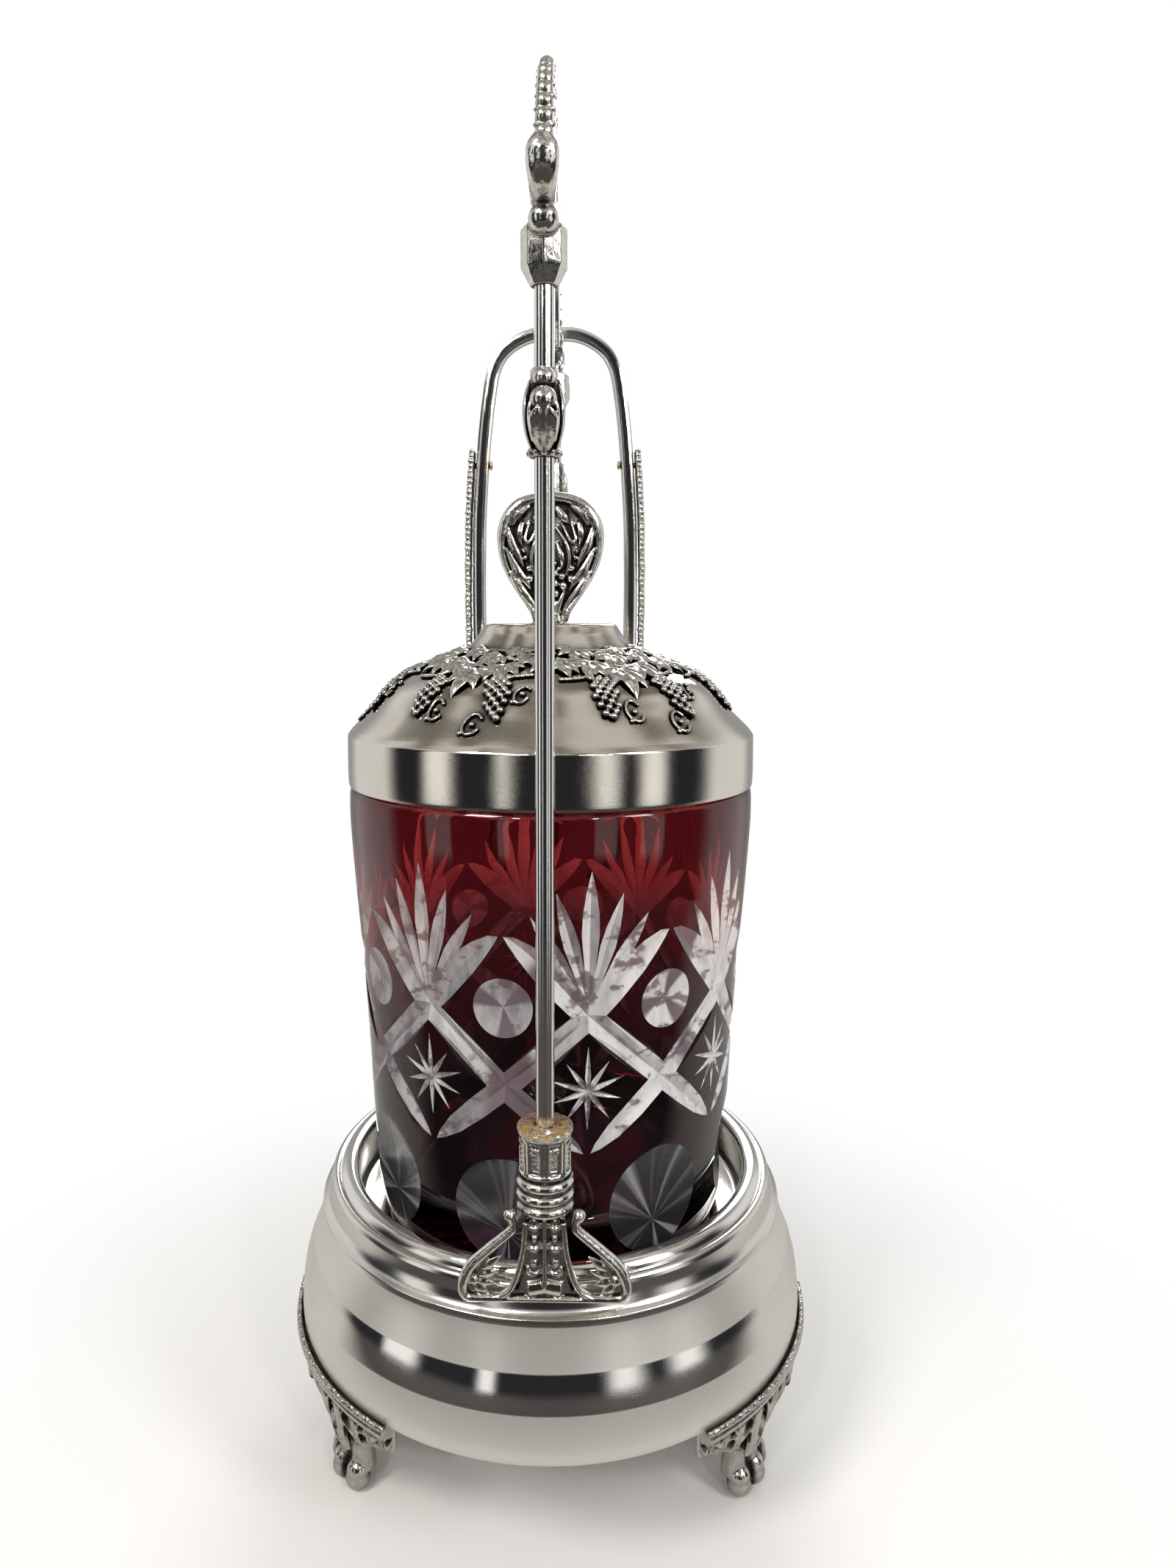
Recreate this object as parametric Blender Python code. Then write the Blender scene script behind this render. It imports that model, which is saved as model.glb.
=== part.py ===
"""Pickle castor: a footed silver-plated stand with a fixed arched handle, a cut
ruby glass jar with a domed lid, and a pair of spring tongs that hang on the
handle's back shoulder.

Units are metres, +Z is up, and the origin is on the table under the middle of
the stand. The handle stands in the YZ plane. The front post is at -Y, and the
tongs hang outside the back post at +Y.
"""
import math

import bmesh
import bpy
from mathutils import Matrix, Vector

MM = 0.001

# Shared fits and finish
PIECE_GAP = 0.3 * MM
CUT_OVERRUN = 1.0 * MM
SHEET = 1.0 * MM
ROUND_STEPS = 36
SMALL_STEPS = 14
SHARP_ANGLE = math.radians(35)
BEVEL_ANGLE = math.radians(50)
MERGE_DISTANCE = 0.00001

# Base shell: the bulged lower pressing, open underneath
FOOT_HEIGHT = 33.0 * MM
SHELL_BULGE = 5.45 * MM
SHELL_HEIGHT = 26.4 * MM
SHELL_HEM_WIDTH = 3.5 * MM
LEDGE_CLEARANCE = 0.5 * MM
SHELL_SHARES = (
    (0.905, 1.000), (0.912, 0.932), (0.928, 0.803), (0.946, 0.693), (0.968, 0.568),
    (0.986, 0.413), (0.996, 0.246), (1.000, 0.114), (0.9926, 0.000),
)
SHELL_INSIDE_SHARES = (0.20, 0.50, 0.80)

# Tray: the well that the jar stands in, with its double beaded rim
JAR_CLEARANCE = 0.3 * MM
RIM_WIDTH = 8.7 * MM
RIM_HEIGHT = 8.6 * MM
WELL_DEPTH = 10.8 * MM
WELL_CORNER = 1.6 * MM
RIM_TOP_SHARES = (
    (1.000, 0.000), (0.989, 0.058), (0.898, 0.128), (0.807, 0.256), (0.739, 0.480),
    (0.739, 0.663), (0.682, 0.756), (0.602, 0.791), (0.523, 0.744), (0.489, 0.837),
    (0.398, 0.953), (0.250, 1.000), (0.091, 0.953), (0.011, 0.837),
)
RIM_UNDER_SHARES = (
    (0.125, 0.720), (0.250, 0.860), (0.380, 0.800), (0.500, 0.600), (0.620, 0.560),
    (0.700, 0.190), (0.890, 0.000),
)

# Jar: cut glass, standing in the tray
JAR_RADIUS = 46.2 * MM
JAR_HEIGHT = 101.4 * MM
JAR_WALL = 4.2 * MM
JAR_FLOOR = 9.0 * MM
JAR_KICK_SHARE = 0.714
JAR_KICK_HEIGHT = 0.8 * MM
NECK_INSET = 1.8 * MM
NECK_HEIGHT = 8.8 * MM
NECK_WALL = 4.0 * MM
NECK_EASE = 0.6 * MM
JAR_SHARES = (
    (0.9827, 1.000), (0.9957, 0.990), (1.0000, 0.970), (1.0000, 0.919), (0.9827, 0.778),
    (0.9567, 0.610), (0.9370, 0.440), (0.9220, 0.265), (0.9048, 0.100), (0.8874, 0.036),
    (0.8570, 0.004), (0.8400, 0.000),
)
JAR_INSIDE_SHARES = (0.12, 0.44, 0.778, 0.90)

# Lid: domed cover with an upright band, and its finial
LID_WALL = 1.2 * MM
LID_FIT_GAP = 0.8 * MM
LID_HEIGHT = 35.5 * MM
LID_SHARES = (
    (0.321, 1.000), (0.336, 0.972), (0.377, 0.901), (0.412, 0.848), (0.550, 0.772),
    (0.662, 0.710), (0.739, 0.656), (0.793, 0.600), (0.864, 0.490), (0.950, 0.383),
    (0.987, 0.330), (0.998, 0.273), (1.000, 0.104), (0.9968, 0.000),
)
LID_INSIDE_SHARES = (0.273, 0.383, 0.490, 0.656, 0.772, 0.848)
FINIAL_HEIGHT = 28.8 * MM
FINIAL_HALF_WIDTH = 11.9 * MM
FINIAL_THICKNESS = 4.2 * MM
FINIAL_EDGE_ROUND = 0.9 * MM
FINIAL_RECESS_DEPTH = 1.0 * MM
FINIAL_RECESS_SHARE = 0.70
FINIAL_FOOT_RADIUS = 4.6 * MM
FINIAL_FOOT_HEIGHT = 3.2 * MM
FINIAL_FOOT_EDGE_SHARES = (0.25, 0.75)
FINIAL_FOOT_TOP_SHARE = 0.5
FINIAL_STUD_RADIUS = 1.5 * MM
FINIAL_STUD_LENGTH = 6.0 * MM
FINIAL_WASHER_RADIUS = 3.8 * MM
FINIAL_OUTLINE_SHARES = (
    (0.000, 1.000), (0.310, 0.985), (0.590, 0.952), (0.815, 0.842), (0.950, 0.728),
    (1.000, 0.622), (0.966, 0.505), (0.890, 0.398), (0.731, 0.281), (0.546, 0.174),
    (0.378, 0.080), (0.360, 0.030),
)

# Posts and their fasteners
POST_RIM_SHARE = 0.4598
ROD_RADIUS = 1.8 * MM
ROD_THREAD_RADIUS = 1.45 * MM
ROD_THREAD_BELOW_NUT = 0.9 * MM
WASHER_THICKNESS = 0.6 * MM
WASHER_RADIUS = 2.75 * MM
NUT_HALF_FLATS = 2.3 * MM
NUT_HEIGHT = 2.0 * MM

# Brackets: the cast sockets that carry the posts on the tray rim
BRACKET_HEIGHT = 30.4 * MM
SOCKET_RADIUS = 5.5 * MM
SOCKET_FACET_SHARE = 0.93
SOCKET_RING_SHARE = 1.06
SOCKET_GROOVE_SHARE = 0.95
COLUMN_SHARE = 0.74
PAD_THICKNESS = 2.0 * MM
BRACKET_PLATE_THICKNESS = 2.7 * MM
BRACKET_PLATE_OFFSET = 2.9 * MM
BRACKET_HALF_WIDTH = 17.0 * MM
BRACKET_EDGE_ROUND = 0.5 * MM
SOCKET_FLANGE_Z_SHARE = 0.95
SOCKET_FACET_Z_SHARE = 0.71
RING_Z_SHARES = (0.665, 0.620, 0.580, 0.535, 0.495, 0.450)
BRACKET_OUTLINE_SHARES = (
    (0.26, 0.50), (0.36, 0.515), (0.46, 0.485), (0.49, 0.420), (0.62, 0.345),
    (0.80, 0.250), (0.95, 0.175), (1.00, 0.090), (1.00, -0.080), (0.94, -0.140),
)
BRACKET_HOLE_SHARES = (
    (0.36, 0.385), (0.60, 0.275), (0.78, 0.180), (0.84, 0.110), (0.84, 0.000),
    (0.78, -0.030), (0.54, -0.030), (0.45, 0.100), (0.37, 0.250),
)

# Arch: the cast top of the handle
ARCH_RISE = 38.7 * MM
ARCH_OVERHANG = 3.5 * MM
ARCH_BAND = 13.0 * MM
ARCH_THICKNESS = 3.4 * MM
ARCH_EDGE_ROUND = 0.5 * MM
ARCH_OUTER_RIM = 3.6 * MM
ARCH_INNER_RIM = 2.6 * MM
ARCH_WINDOWS = 8
ARCH_WINDOW_FILL_SHARE = 0.62
ARCH_WINDOW_FIRST_SHARE = 0.12
ARCH_WINDOW_EDGE_SHARE = 0.7
ARCH_STEPS = 28
ARCH_BEADS_PER_SIDE = 10
ARCH_BEAD_LARGE = 1.55 * MM
ARCH_BEAD_SMALL = 0.95 * MM
ARCH_BEAD_START_SHARE = 0.19
ARCH_BEAD_END_SHARE = 0.93
ROD_LENGTH_ABOVE_SOCKET = 158.7 * MM
BLOCK_HEIGHT = 9.6 * MM
BLOCK_RADIUS = 4.1 * MM
BLOCK_TAPER = 3.0 * MM
BLOCK_TAPER_SHARE = 0.60
BLOCK_SOCKET_DEPTH = 6.0 * MM
BLOCK_BALL_RADIUS = 2.35 * MM
SADDLE_THICKNESS = 4.4 * MM
SADDLE_REACH = 9.4 * MM
SADDLE_DIP_Y_SHARE = 0.40
SADDLE_HEIGHT = 12.6 * MM
SADDLE_EDGE_ROUND = 1.3 * MM
SADDLE_DIP_SHARE = 0.80
SADDLE_SHARES = (
    (-0.62, 0.02), (0.10, 0.00), (0.52, 0.08), (0.86, 0.28), (1.00, 0.55), (1.00, 0.82),
    (0.92, 0.98), (0.80, 1.00), (0.72, 0.90), (0.61, 0.80), (0.19, 0.80), (0.10, 0.93),
    (-0.06, 1.00), (-0.62, 0.98),
)

# Post hooks: the cast knops halfway up the posts
HOOK_DROP = 28.4 * MM
HOOK_HEIGHT = 15.1 * MM
HOOK_SLEEVE_RADIUS = 2.9 * MM
HOOK_COLLAR_RADIUS = 3.3 * MM
HOOK_COLLAR_SHARE = 0.12
HOOK_REACH = 7.2 * MM
HOOK_BUD_RADIUS = 2.4 * MM
HOOK_BALL_RADIUS = 1.95 * MM
HOOK_PATH_SHARES = ((0.22, 0.08), (0.62, 0.20), (0.92, 0.42), (1.00, 0.64))
HOOK_RADIUS_SHARES = (0.55, 0.85, 1.00, 0.98)
HOOK_BALL_SHARES = (0.42, 0.88)
HOOK_LEAF_SHARES = (0.10, 0.50)
HOOK_LEAF_THICKNESS = 1.1 * MM
HOOK_LEAF_HALF_HEIGHT = 5.4 * MM
HOOK_LEAF_HALF_DEPTH = 2.9 * MM
HOOK_LEAF_SPREAD = 2.3 * MM

# Tongs: spring bow, two legs with cast plates, and claws
TONGS_THICKNESS = 3.6 * MM
TONGS_DEPTH = 3.2 * MM
TONGS_EDGE_ROUND = 0.7 * MM
TONGS_HALF_WIDTH = 21.3 * MM
TONGS_LENGTH = 148.0 * MM
TONGS_HINGE_SHARE = 0.105
TONGS_OUTLINE_SHARES = (
    (0.000, 0.000), (0.280, 0.002), (0.520, 0.016), (0.690, 0.037), (0.795, 0.068),
    (0.860, 0.120), (0.906, 0.173), (0.939, 0.227), (0.986, 0.328), (1.000, 0.416),
    (1.004, 0.470), (1.000, 0.558), (0.975, 0.680), (0.915, 0.780), (0.830, 0.850),
)
PLATE_START_SHARE = 0.205
PLATE_END_SHARE = 0.640
PLATE_THICKNESS = 2.3 * MM
PLATE_DEPTH = 7.2 * MM
PLATE_BULGE_SHARE = 0.22
PLATE_BULGE_END_SHARE = 0.62
PLATE_TIP_SHARE = 0.45
PLATE_STATIONS = 12
RIVET_SHARES = (0.235, 0.610)
RIVET_RADIUS = 0.8 * MM
RIVET_HEAD_RADIUS = 1.3 * MM
RIVET_HEAD_HEIGHT = 0.6 * MM
RIVET_CROWN_SHARE = 0.7
CLAW_LENGTH = 22.0 * MM
CLAW_PALM_SHARE = 0.30
CLAW_FINGERS = 3
CLAW_FINGER_RADIUS = 1.15 * MM
CLAW_SPREAD = 4.4 * MM
CLAW_FAN_SHARE = 0.33
CLAW_TIP_SHARE = 0.5
CLAW_REACH_SHARES = (0.00, 0.10, 0.04, -0.18, -0.36)
CLAW_DROP_SHARES = (0.05, 0.35, 0.62, 0.86, 1.00)
CLAW_PALM_THICKNESS = 3.0 * MM

# Feet: three cast paw feet under the base shell
FOOT_COUNT = 3
FLANGE_HALF_ANGLE = math.radians(28)
FLANGE_STEPS = 10
FLANGE_LIP = 1.1 * MM
FLANGE_LIP_HEIGHT = 1.0 * MM
FLANGE_HEIGHT = 3.4 * MM
FLANGE_DEPTH = 4.6 * MM
FLANGE_SHARES = (
    (1.000, 0.00), (1.000, -0.22), (0.860, -0.34), (0.860, -0.62), (0.740, -0.76),
    (0.720, -1.00), (0.120, -1.00), (0.000, -0.80), (0.000, 0.00),
)
PAW_SHARE = 0.8343
PAW_HALF_WIDTH = 6.2 * MM
TOE_RADIUS = 3.1 * MM
TOE_REACH = 3.4 * MM
TOE_REACH_SHARES = (0.66, 1.00, 0.66)
TOE_SEAT_SHARE = 0.92
TOE_STRETCH_SHARES = (0.86, 1.12, 1.12)
LEG_SHARES = (
    (0.93, 1.00, 1.90, 0.34), (0.80, 0.96, 1.72, 0.54), (0.66, 0.80, 1.36, 0.70),
    (0.50, 0.48, 1.10, 0.80), (0.34, 0.18, 0.95, 0.82), (0.20, 0.04, 0.96, 0.82),
    (0.10, 0.00, 1.00, 0.82), (0.00, 0.00, 0.88, 0.68),
)
APRON_DROP_SHARES = (0.19, 0.22, 0.18, 0.30, 0.40, 0.48, 0.40, 0.30, 0.18, 0.22, 0.19)
APRON_ANGLE_SHARE = 0.96
APRON_THICKNESS = 2.0 * MM

# Finishes: linear colour, roughness, metallic
BRIGHT_SILVER = ((0.80, 0.78, 0.74), 0.12, 1.0)
SATIN_SILVER = ((0.74, 0.73, 0.70), 0.30, 1.0)
CAST_SILVER = ((0.66, 0.64, 0.60), 0.24, 1.0)
PLAIN_BRASS = ((0.62, 0.48, 0.24), 0.35, 1.0)
RUBY_GLASS = ((0.22, 0.01, 0.03), 0.05, 0.0)

# Radii that follow from the jar, so that the whole stand grows with it
neck_radius = JAR_RADIUS - NECK_INSET
jar_kick_radius = JAR_RADIUS * JAR_KICK_SHARE
tray_inner_radius = JAR_RADIUS + JAR_CLEARANCE
tray_outer_radius = tray_inner_radius + RIM_WIDTH
base_radius = tray_outer_radius + SHELL_BULGE
post_radius = tray_inner_radius + RIM_WIDTH * POST_RIM_SHARE
arch_half_span = post_radius + ARCH_OVERHANG
paw_radius = base_radius * PAW_SHARE

# Places that follow from the sizes above
shell_bottom_z = FOOT_HEIGHT
shell_top_z = shell_bottom_z + SHELL_HEIGHT
rim_foot_z = shell_top_z + PIECE_GAP
rim_top_z = rim_foot_z + RIM_HEIGHT
tray_floor_z = rim_top_z - WELL_DEPTH
well_outer_radius = tray_inner_radius + SHEET
jar_bottom_z = tray_floor_z + PIECE_GAP
jar_shoulder_z = jar_bottom_z + JAR_HEIGHT
lid_bottom_z = jar_shoulder_z + PIECE_GAP
lid_top_z = lid_bottom_z + LID_HEIGHT
lid_radius = neck_radius + LID_FIT_GAP + LID_WALL
pad_bottom_z = rim_top_z + PIECE_GAP
socket_top_z = pad_bottom_z + BRACKET_HEIGHT
rod_top_z = socket_top_z + ROD_LENGTH_ABOVE_SOCKET
block_bottom_z = rod_top_z - BLOCK_SOCKET_DEPTH + PIECE_GAP
block_top_z = block_bottom_z + BLOCK_HEIGHT
arch_centre_z = block_top_z + BLOCK_BALL_RADIUS * 2
saddle_bottom_z = block_top_z
saddle_rest_z = saddle_bottom_z + SADDLE_HEIGHT * SADDLE_DIP_SHARE
bow_inner_z = saddle_rest_z + PIECE_GAP
bow_line_z = bow_inner_z + TONGS_THICKNESS / 2
tongs_y = arch_half_span + SADDLE_REACH * SADDLE_DIP_Y_SHARE


def remove_everything():
    for item in list(bpy.data.objects):
        bpy.data.objects.remove(item, do_unlink=True)


def give_finish(item, finish):
    """Give one object a Principled material of its own."""
    colour, roughness, metallic = finish
    material = bpy.data.materials.new(item.name + "_finish")
    material.use_nodes = True
    shader = material.node_tree.nodes["Principled BSDF"]
    shader.inputs["Base Color"].default_value = (*colour, 1.0)
    shader.inputs["Roughness"].default_value = roughness
    shader.inputs["Metallic"].default_value = metallic
    item.data.materials.clear()
    item.data.materials.append(material)


def object_from_bmesh(name, work):
    """Close a bmesh into a linked object with outward faces and smooth shading."""
    bmesh.ops.recalc_face_normals(work, faces=work.faces)
    mesh = bpy.data.meshes.new(name)
    work.to_mesh(mesh)
    work.free()
    mesh.shade_smooth()
    mesh.set_sharp_from_angle(angle=SHARP_ANGLE)
    item = bpy.data.objects.new(name, mesh)
    bpy.context.collection.objects.link(item)
    return item


def turned(name, profile, steps=ROUND_STEPS):
    """Turn a closed (radius, height) outline round Z with a Screw modifier."""
    mesh = bpy.data.meshes.new(name)
    points = [(radius, 0, height) for radius, height in profile]
    count = len(points)
    edges = [(index, (index + 1) % count) for index in range(count)]
    touches_axis = profile[0][0] == 0 and profile[-1][0] == 0
    if touches_axis:
        edges.pop()
    mesh.from_pydata(points, edges, [])
    item = bpy.data.objects.new(name, mesh)
    bpy.context.collection.objects.link(item)
    screw = item.modifiers.new("turn", "SCREW")
    screw.axis = "Z"
    screw.angle = math.tau
    screw.steps = steps
    screw.render_steps = steps
    screw.use_merge_vertices = True
    screw.merge_threshold = MERGE_DISTANCE
    screw.use_smooth_shade = True
    return item


def flat_plate(name, outline, holes, thickness, edge_round=0, segments=1):
    """Extrude a closed XZ outline with holes by a thickness centred on Y = 0."""
    work = bmesh.new()
    for loop in (outline, *holes):
        verts = [work.verts.new((x, -thickness / 2, z)) for x, z in loop]
        for index, vert in enumerate(verts):
            work.edges.new((vert, verts[(index + 1) % len(verts)]))
    bmesh.ops.triangle_fill(work, edges=work.edges[:], use_beauty=True)
    bmesh.ops.dissolve_limit(
        work, angle_limit=MERGE_DISTANCE, verts=work.verts[:], edges=work.edges[:])
    grown = bmesh.ops.extrude_face_region(work, geom=work.faces[:])
    moved = [part for part in grown["geom"] if isinstance(part, bmesh.types.BMVert)]
    bmesh.ops.translate(work, verts=moved, vec=(0, thickness, 0))
    item = object_from_bmesh(name, work)
    if edge_round:
        bevel = item.modifiers.new("eased edge", "BEVEL")
        bevel.width = edge_round
        bevel.segments = segments
        bevel.limit_method = "ANGLE"
        bevel.angle_limit = BEVEL_ANGLE
    return item


def cylinder(name, radius, low_z, high_z, x=0, y=0, steps=SMALL_STEPS):
    """Make an upright cylinder between two heights."""
    work = bmesh.new()
    bmesh.ops.create_cone(
        work, cap_ends=True, segments=steps, radius1=radius, radius2=radius,
        depth=high_z - low_z,
        matrix=Matrix.Translation((x, y, (low_z + high_z) / 2)))
    return object_from_bmesh(name, work)


def ball(name, radius, centre, stretch=(1, 1, 1), detail=2):
    """Make an icosphere, stretched along the axes."""
    work = bmesh.new()
    bmesh.ops.create_icosphere(work, subdivisions=detail, radius=radius)
    bmesh.ops.scale(work, vec=stretch, verts=work.verts[:])
    bmesh.ops.translate(work, vec=centre, verts=work.verts[:])
    return object_from_bmesh(name, work)


def lofted(name, rings):
    """Bridge closed rings of equal count and cap both ends."""
    work = bmesh.new()
    loops = [[work.verts.new(point) for point in ring] for ring in rings]
    count = len(loops[0])
    for lower, upper in zip(loops, loops[1:]):
        for index in range(count):
            after = (index + 1) % count
            work.faces.new((lower[index], lower[after], upper[after], upper[index]))
    work.faces.new(loops[0])
    work.faces.new(loops[-1])
    return object_from_bmesh(name, work)


def as_tool(item):
    """Mark an object as a guide that only feeds another object's modifier."""
    item.hide_render = True
    item.display_type = "WIRE"
    return item


def combine(target, tool, operation):
    """Join or cut the target with a tool by an exact Boolean."""
    modifier = target.modifiers.new(operation.lower() + " " + tool.name, "BOOLEAN")
    modifier.operation = operation
    modifier.solver = "EXACT"
    modifier.object = as_tool(tool)


def ellipse_ring(centre, half_width, half_depth, z, steps=14):
    """One level ring of a leg, wide along X and deep along Y."""
    ring = []
    for step in range(steps):
        angle = math.tau * step / steps
        x = centre[0] + half_width * math.cos(angle)
        y = centre[1] + half_depth * math.sin(angle)
        ring.append((x, y, z))
    return ring


def profile_radius(shares, full_radius, height_share):
    """Read a turned profile's outer radius at a share of its height."""
    points = sorted((h, r) for r, h in shares)
    for (low_h, low_r), (high_h, high_r) in zip(points, points[1:]):
        if low_h <= height_share <= high_h and high_h > low_h:
            way = (height_share - low_h) / (high_h - low_h)
            return full_radius * (low_r + (high_r - low_r) * way)
    return full_radius * points[-1][1]


def make_base_shell():
    outer = [(base_radius * r, shell_bottom_z + SHELL_HEIGHT * h) for r, h in SHELL_SHARES]
    inner = [
        (profile_radius(SHELL_SHARES, base_radius, share) - SHEET,
         shell_bottom_z + SHELL_HEIGHT * share) for share in SHELL_INSIDE_SHARES]
    hem_outer = outer[-1][0]
    hem_inner = hem_outer - SHELL_HEM_WIDTH
    ledge_inner = well_outer_radius + LEDGE_CLEARANCE
    profile = list(outer)
    profile.append((hem_inner, shell_bottom_z))
    profile.append((hem_inner, shell_bottom_z + SHEET))
    profile.append((hem_outer - SHEET, shell_bottom_z + SHEET))
    profile.extend(inner)
    profile.append((outer[0][0] - SHEET, shell_top_z - SHEET))
    profile.append((ledge_inner, shell_top_z - SHEET))
    profile.append((ledge_inner, shell_top_z))
    item = turned("base_shell", profile)
    for side in (-1, 1):
        hole = cylinder(
            "ledge_hole", ROD_THREAD_RADIUS + PIECE_GAP, shell_top_z - SHEET - CUT_OVERRUN,
            shell_top_z + CUT_OVERRUN, y=side * post_radius)
        combine(item, hole, "DIFFERENCE")
    give_finish(item, SATIN_SILVER)


def make_tray():
    profile = [(0, tray_floor_z)]
    profile.append((tray_inner_radius - WELL_CORNER, tray_floor_z))
    profile.append((tray_inner_radius, tray_floor_z + WELL_CORNER))
    rim = [
        (tray_inner_radius + RIM_WIDTH * r, rim_foot_z + RIM_HEIGHT * h)
        for r, h in RIM_TOP_SHARES]
    under = [
        (tray_inner_radius + RIM_WIDTH * r, rim_foot_z + RIM_HEIGHT * h)
        for r, h in RIM_UNDER_SHARES]
    rim.reverse()
    under.reverse()
    profile.extend(rim)
    profile.extend(under)
    profile.append((well_outer_radius, tray_floor_z + WELL_CORNER))
    profile.append((well_outer_radius - WELL_CORNER, tray_floor_z - SHEET))
    profile.append((0, tray_floor_z - SHEET))
    item = turned("tray", profile)
    for side in (-1, 1):
        hole = cylinder(
            "rim_hole", ROD_THREAD_RADIUS + PIECE_GAP, rim_foot_z - CUT_OVERRUN,
            rim_top_z + CUT_OVERRUN, y=side * post_radius)
        combine(item, hole, "DIFFERENCE")
    give_finish(item, SATIN_SILVER)


def make_jar():
    mouth_z = jar_shoulder_z + NECK_HEIGHT
    mouth_radius = neck_radius - NECK_WALL
    inner_floor_z = jar_bottom_z + JAR_FLOOR
    floor_radius = profile_radius(JAR_SHARES, JAR_RADIUS, JAR_FLOOR / JAR_HEIGHT) - JAR_WALL
    kick_top_z = jar_bottom_z + JAR_KICK_HEIGHT
    profile = [(mouth_radius + NECK_EASE, mouth_z), (neck_radius - NECK_EASE, mouth_z)]
    profile.append((neck_radius, mouth_z - NECK_EASE))
    profile.append((neck_radius, jar_shoulder_z))
    profile.extend((JAR_RADIUS * r, jar_bottom_z + JAR_HEIGHT * h) for r, h in JAR_SHARES)
    profile.append((jar_kick_radius, jar_bottom_z))
    profile.append((jar_kick_radius - JAR_KICK_HEIGHT, kick_top_z))
    profile.append((0, kick_top_z))
    profile.append((0, inner_floor_z))
    profile.append((floor_radius - JAR_WALL, inner_floor_z))
    for share in JAR_INSIDE_SHARES:
        radius = profile_radius(JAR_SHARES, JAR_RADIUS, share) - JAR_WALL
        profile.append((radius, jar_bottom_z + JAR_HEIGHT * share))
    profile.append((mouth_radius, jar_shoulder_z))
    profile.append((mouth_radius, mouth_z - NECK_EASE))
    start = profile.index((0, kick_top_z))
    outline = profile[start + 1:] + profile[:start + 1]
    item = turned("jar", outline)
    give_finish(item, RUBY_GLASS)


def make_lid():
    outer = [(lid_radius * r, lid_bottom_z + LID_HEIGHT * h) for r, h in LID_SHARES]
    hole_radius = FINIAL_STUD_RADIUS + PIECE_GAP
    flat_under_z = lid_top_z - LID_WALL
    inner = []
    for share in LID_INSIDE_SHARES:
        radius = profile_radius(LID_SHARES, lid_radius, share)
        above = profile_radius(LID_SHARES, lid_radius, share + LID_WALL / LID_HEIGHT)
        slope = Vector((above - radius, LID_WALL)).normalized()
        inner.append((radius - slope.y * LID_WALL,
                      lid_bottom_z + LID_HEIGHT * share + slope.x * LID_WALL))
    bottom_inner = (outer[-1][0] - LID_WALL, lid_bottom_z)
    profile = [(hole_radius, lid_top_z), *outer, bottom_inner, *inner]
    profile.append((outer[0][0] - LID_WALL, flat_under_z))
    profile.append((hole_radius, flat_under_z))
    item = turned("lid", profile)
    give_finish(item, BRIGHT_SILVER)


def finial_outline(share):
    """The finial's teardrop outline, drawn in by a share about its middle."""
    low_z = lid_top_z + PIECE_GAP
    middle_z = low_z + FINIAL_HEIGHT * FINIAL_OUTLINE_SHARES[5][1]
    right = []
    for x_share, z_share in FINIAL_OUTLINE_SHARES:
        z = low_z + FINIAL_HEIGHT * z_share
        right.append((FINIAL_HALF_WIDTH * x_share * share, middle_z + (z - middle_z) * share))
    left = [(-x, z) for x, z in reversed(right[1:])]
    return right + left


def make_finial():
    low_z = lid_top_z + PIECE_GAP
    edge_share, high_share = FINIAL_FOOT_EDGE_SHARES
    item = flat_plate("finial", finial_outline(1), [], FINIAL_THICKNESS, FINIAL_EDGE_ROUND)
    foot = turned("finial_foot", [
        (0, low_z + FINIAL_FOOT_HEIGHT),
        (FINIAL_FOOT_RADIUS * FINIAL_FOOT_TOP_SHARE, low_z + FINIAL_FOOT_HEIGHT * high_share),
        (FINIAL_FOOT_RADIUS, low_z + FINIAL_FOOT_HEIGHT * edge_share),
        (FINIAL_FOOT_RADIUS, low_z), (FINIAL_STUD_RADIUS, low_z),
        (FINIAL_STUD_RADIUS, low_z - FINIAL_STUD_LENGTH), (0, low_z - FINIAL_STUD_LENGTH),
    ], SMALL_STEPS)
    combine(item, foot, "UNION")
    for side in (-1, 1):
        recess = flat_plate(
            "finial_recess", finial_outline(FINIAL_RECESS_SHARE), [], FINIAL_RECESS_DEPTH * 2)
        recess.location.y = side * FINIAL_THICKNESS / 2
        combine(item, recess, "DIFFERENCE")
    give_finish(item, CAST_SILVER)
    make_washer("finial_washer", FINIAL_WASHER_RADIUS, FINIAL_STUD_RADIUS, 0,
                lid_top_z - LID_WALL - PIECE_GAP)
    make_nut("finial_nut", FINIAL_STUD_RADIUS, 0,
             lid_top_z - LID_WALL - WASHER_THICKNESS - PIECE_GAP * 2)


def make_washer(name, radius, shaft_radius, y, high_z):
    """A flat round washer that hangs below a height."""
    hole = shaft_radius + PIECE_GAP
    item = turned(name, [
        (radius, high_z), (radius, high_z - WASHER_THICKNESS),
        (hole, high_z - WASHER_THICKNESS), (hole, high_z)], SMALL_STEPS)
    item.location.y = y
    give_finish(item, PLAIN_BRASS)


def make_nut(name, shaft_radius, y, high_z):
    """A hexagon nut below a height, with a clear hole for its thread."""
    corner = NUT_HALF_FLATS / math.cos(math.pi / 6)
    sides = 6
    hexagon = [
        (corner * math.cos(math.tau * k / sides), corner * math.sin(math.tau * k / sides))
        for k in range(sides)]
    hole_radius = shaft_radius + PIECE_GAP / 2
    hole = [
        (hole_radius * math.cos(math.tau * k / SMALL_STEPS),
         hole_radius * math.sin(math.tau * k / SMALL_STEPS)) for k in range(SMALL_STEPS)]
    item = flat_plate(name, hexagon, [hole], NUT_HEIGHT)
    item.rotation_euler.x = math.pi / 2
    item.location = (0, y, high_z - NUT_HEIGHT / 2)
    give_finish(item, PLAIN_BRASS)


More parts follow.
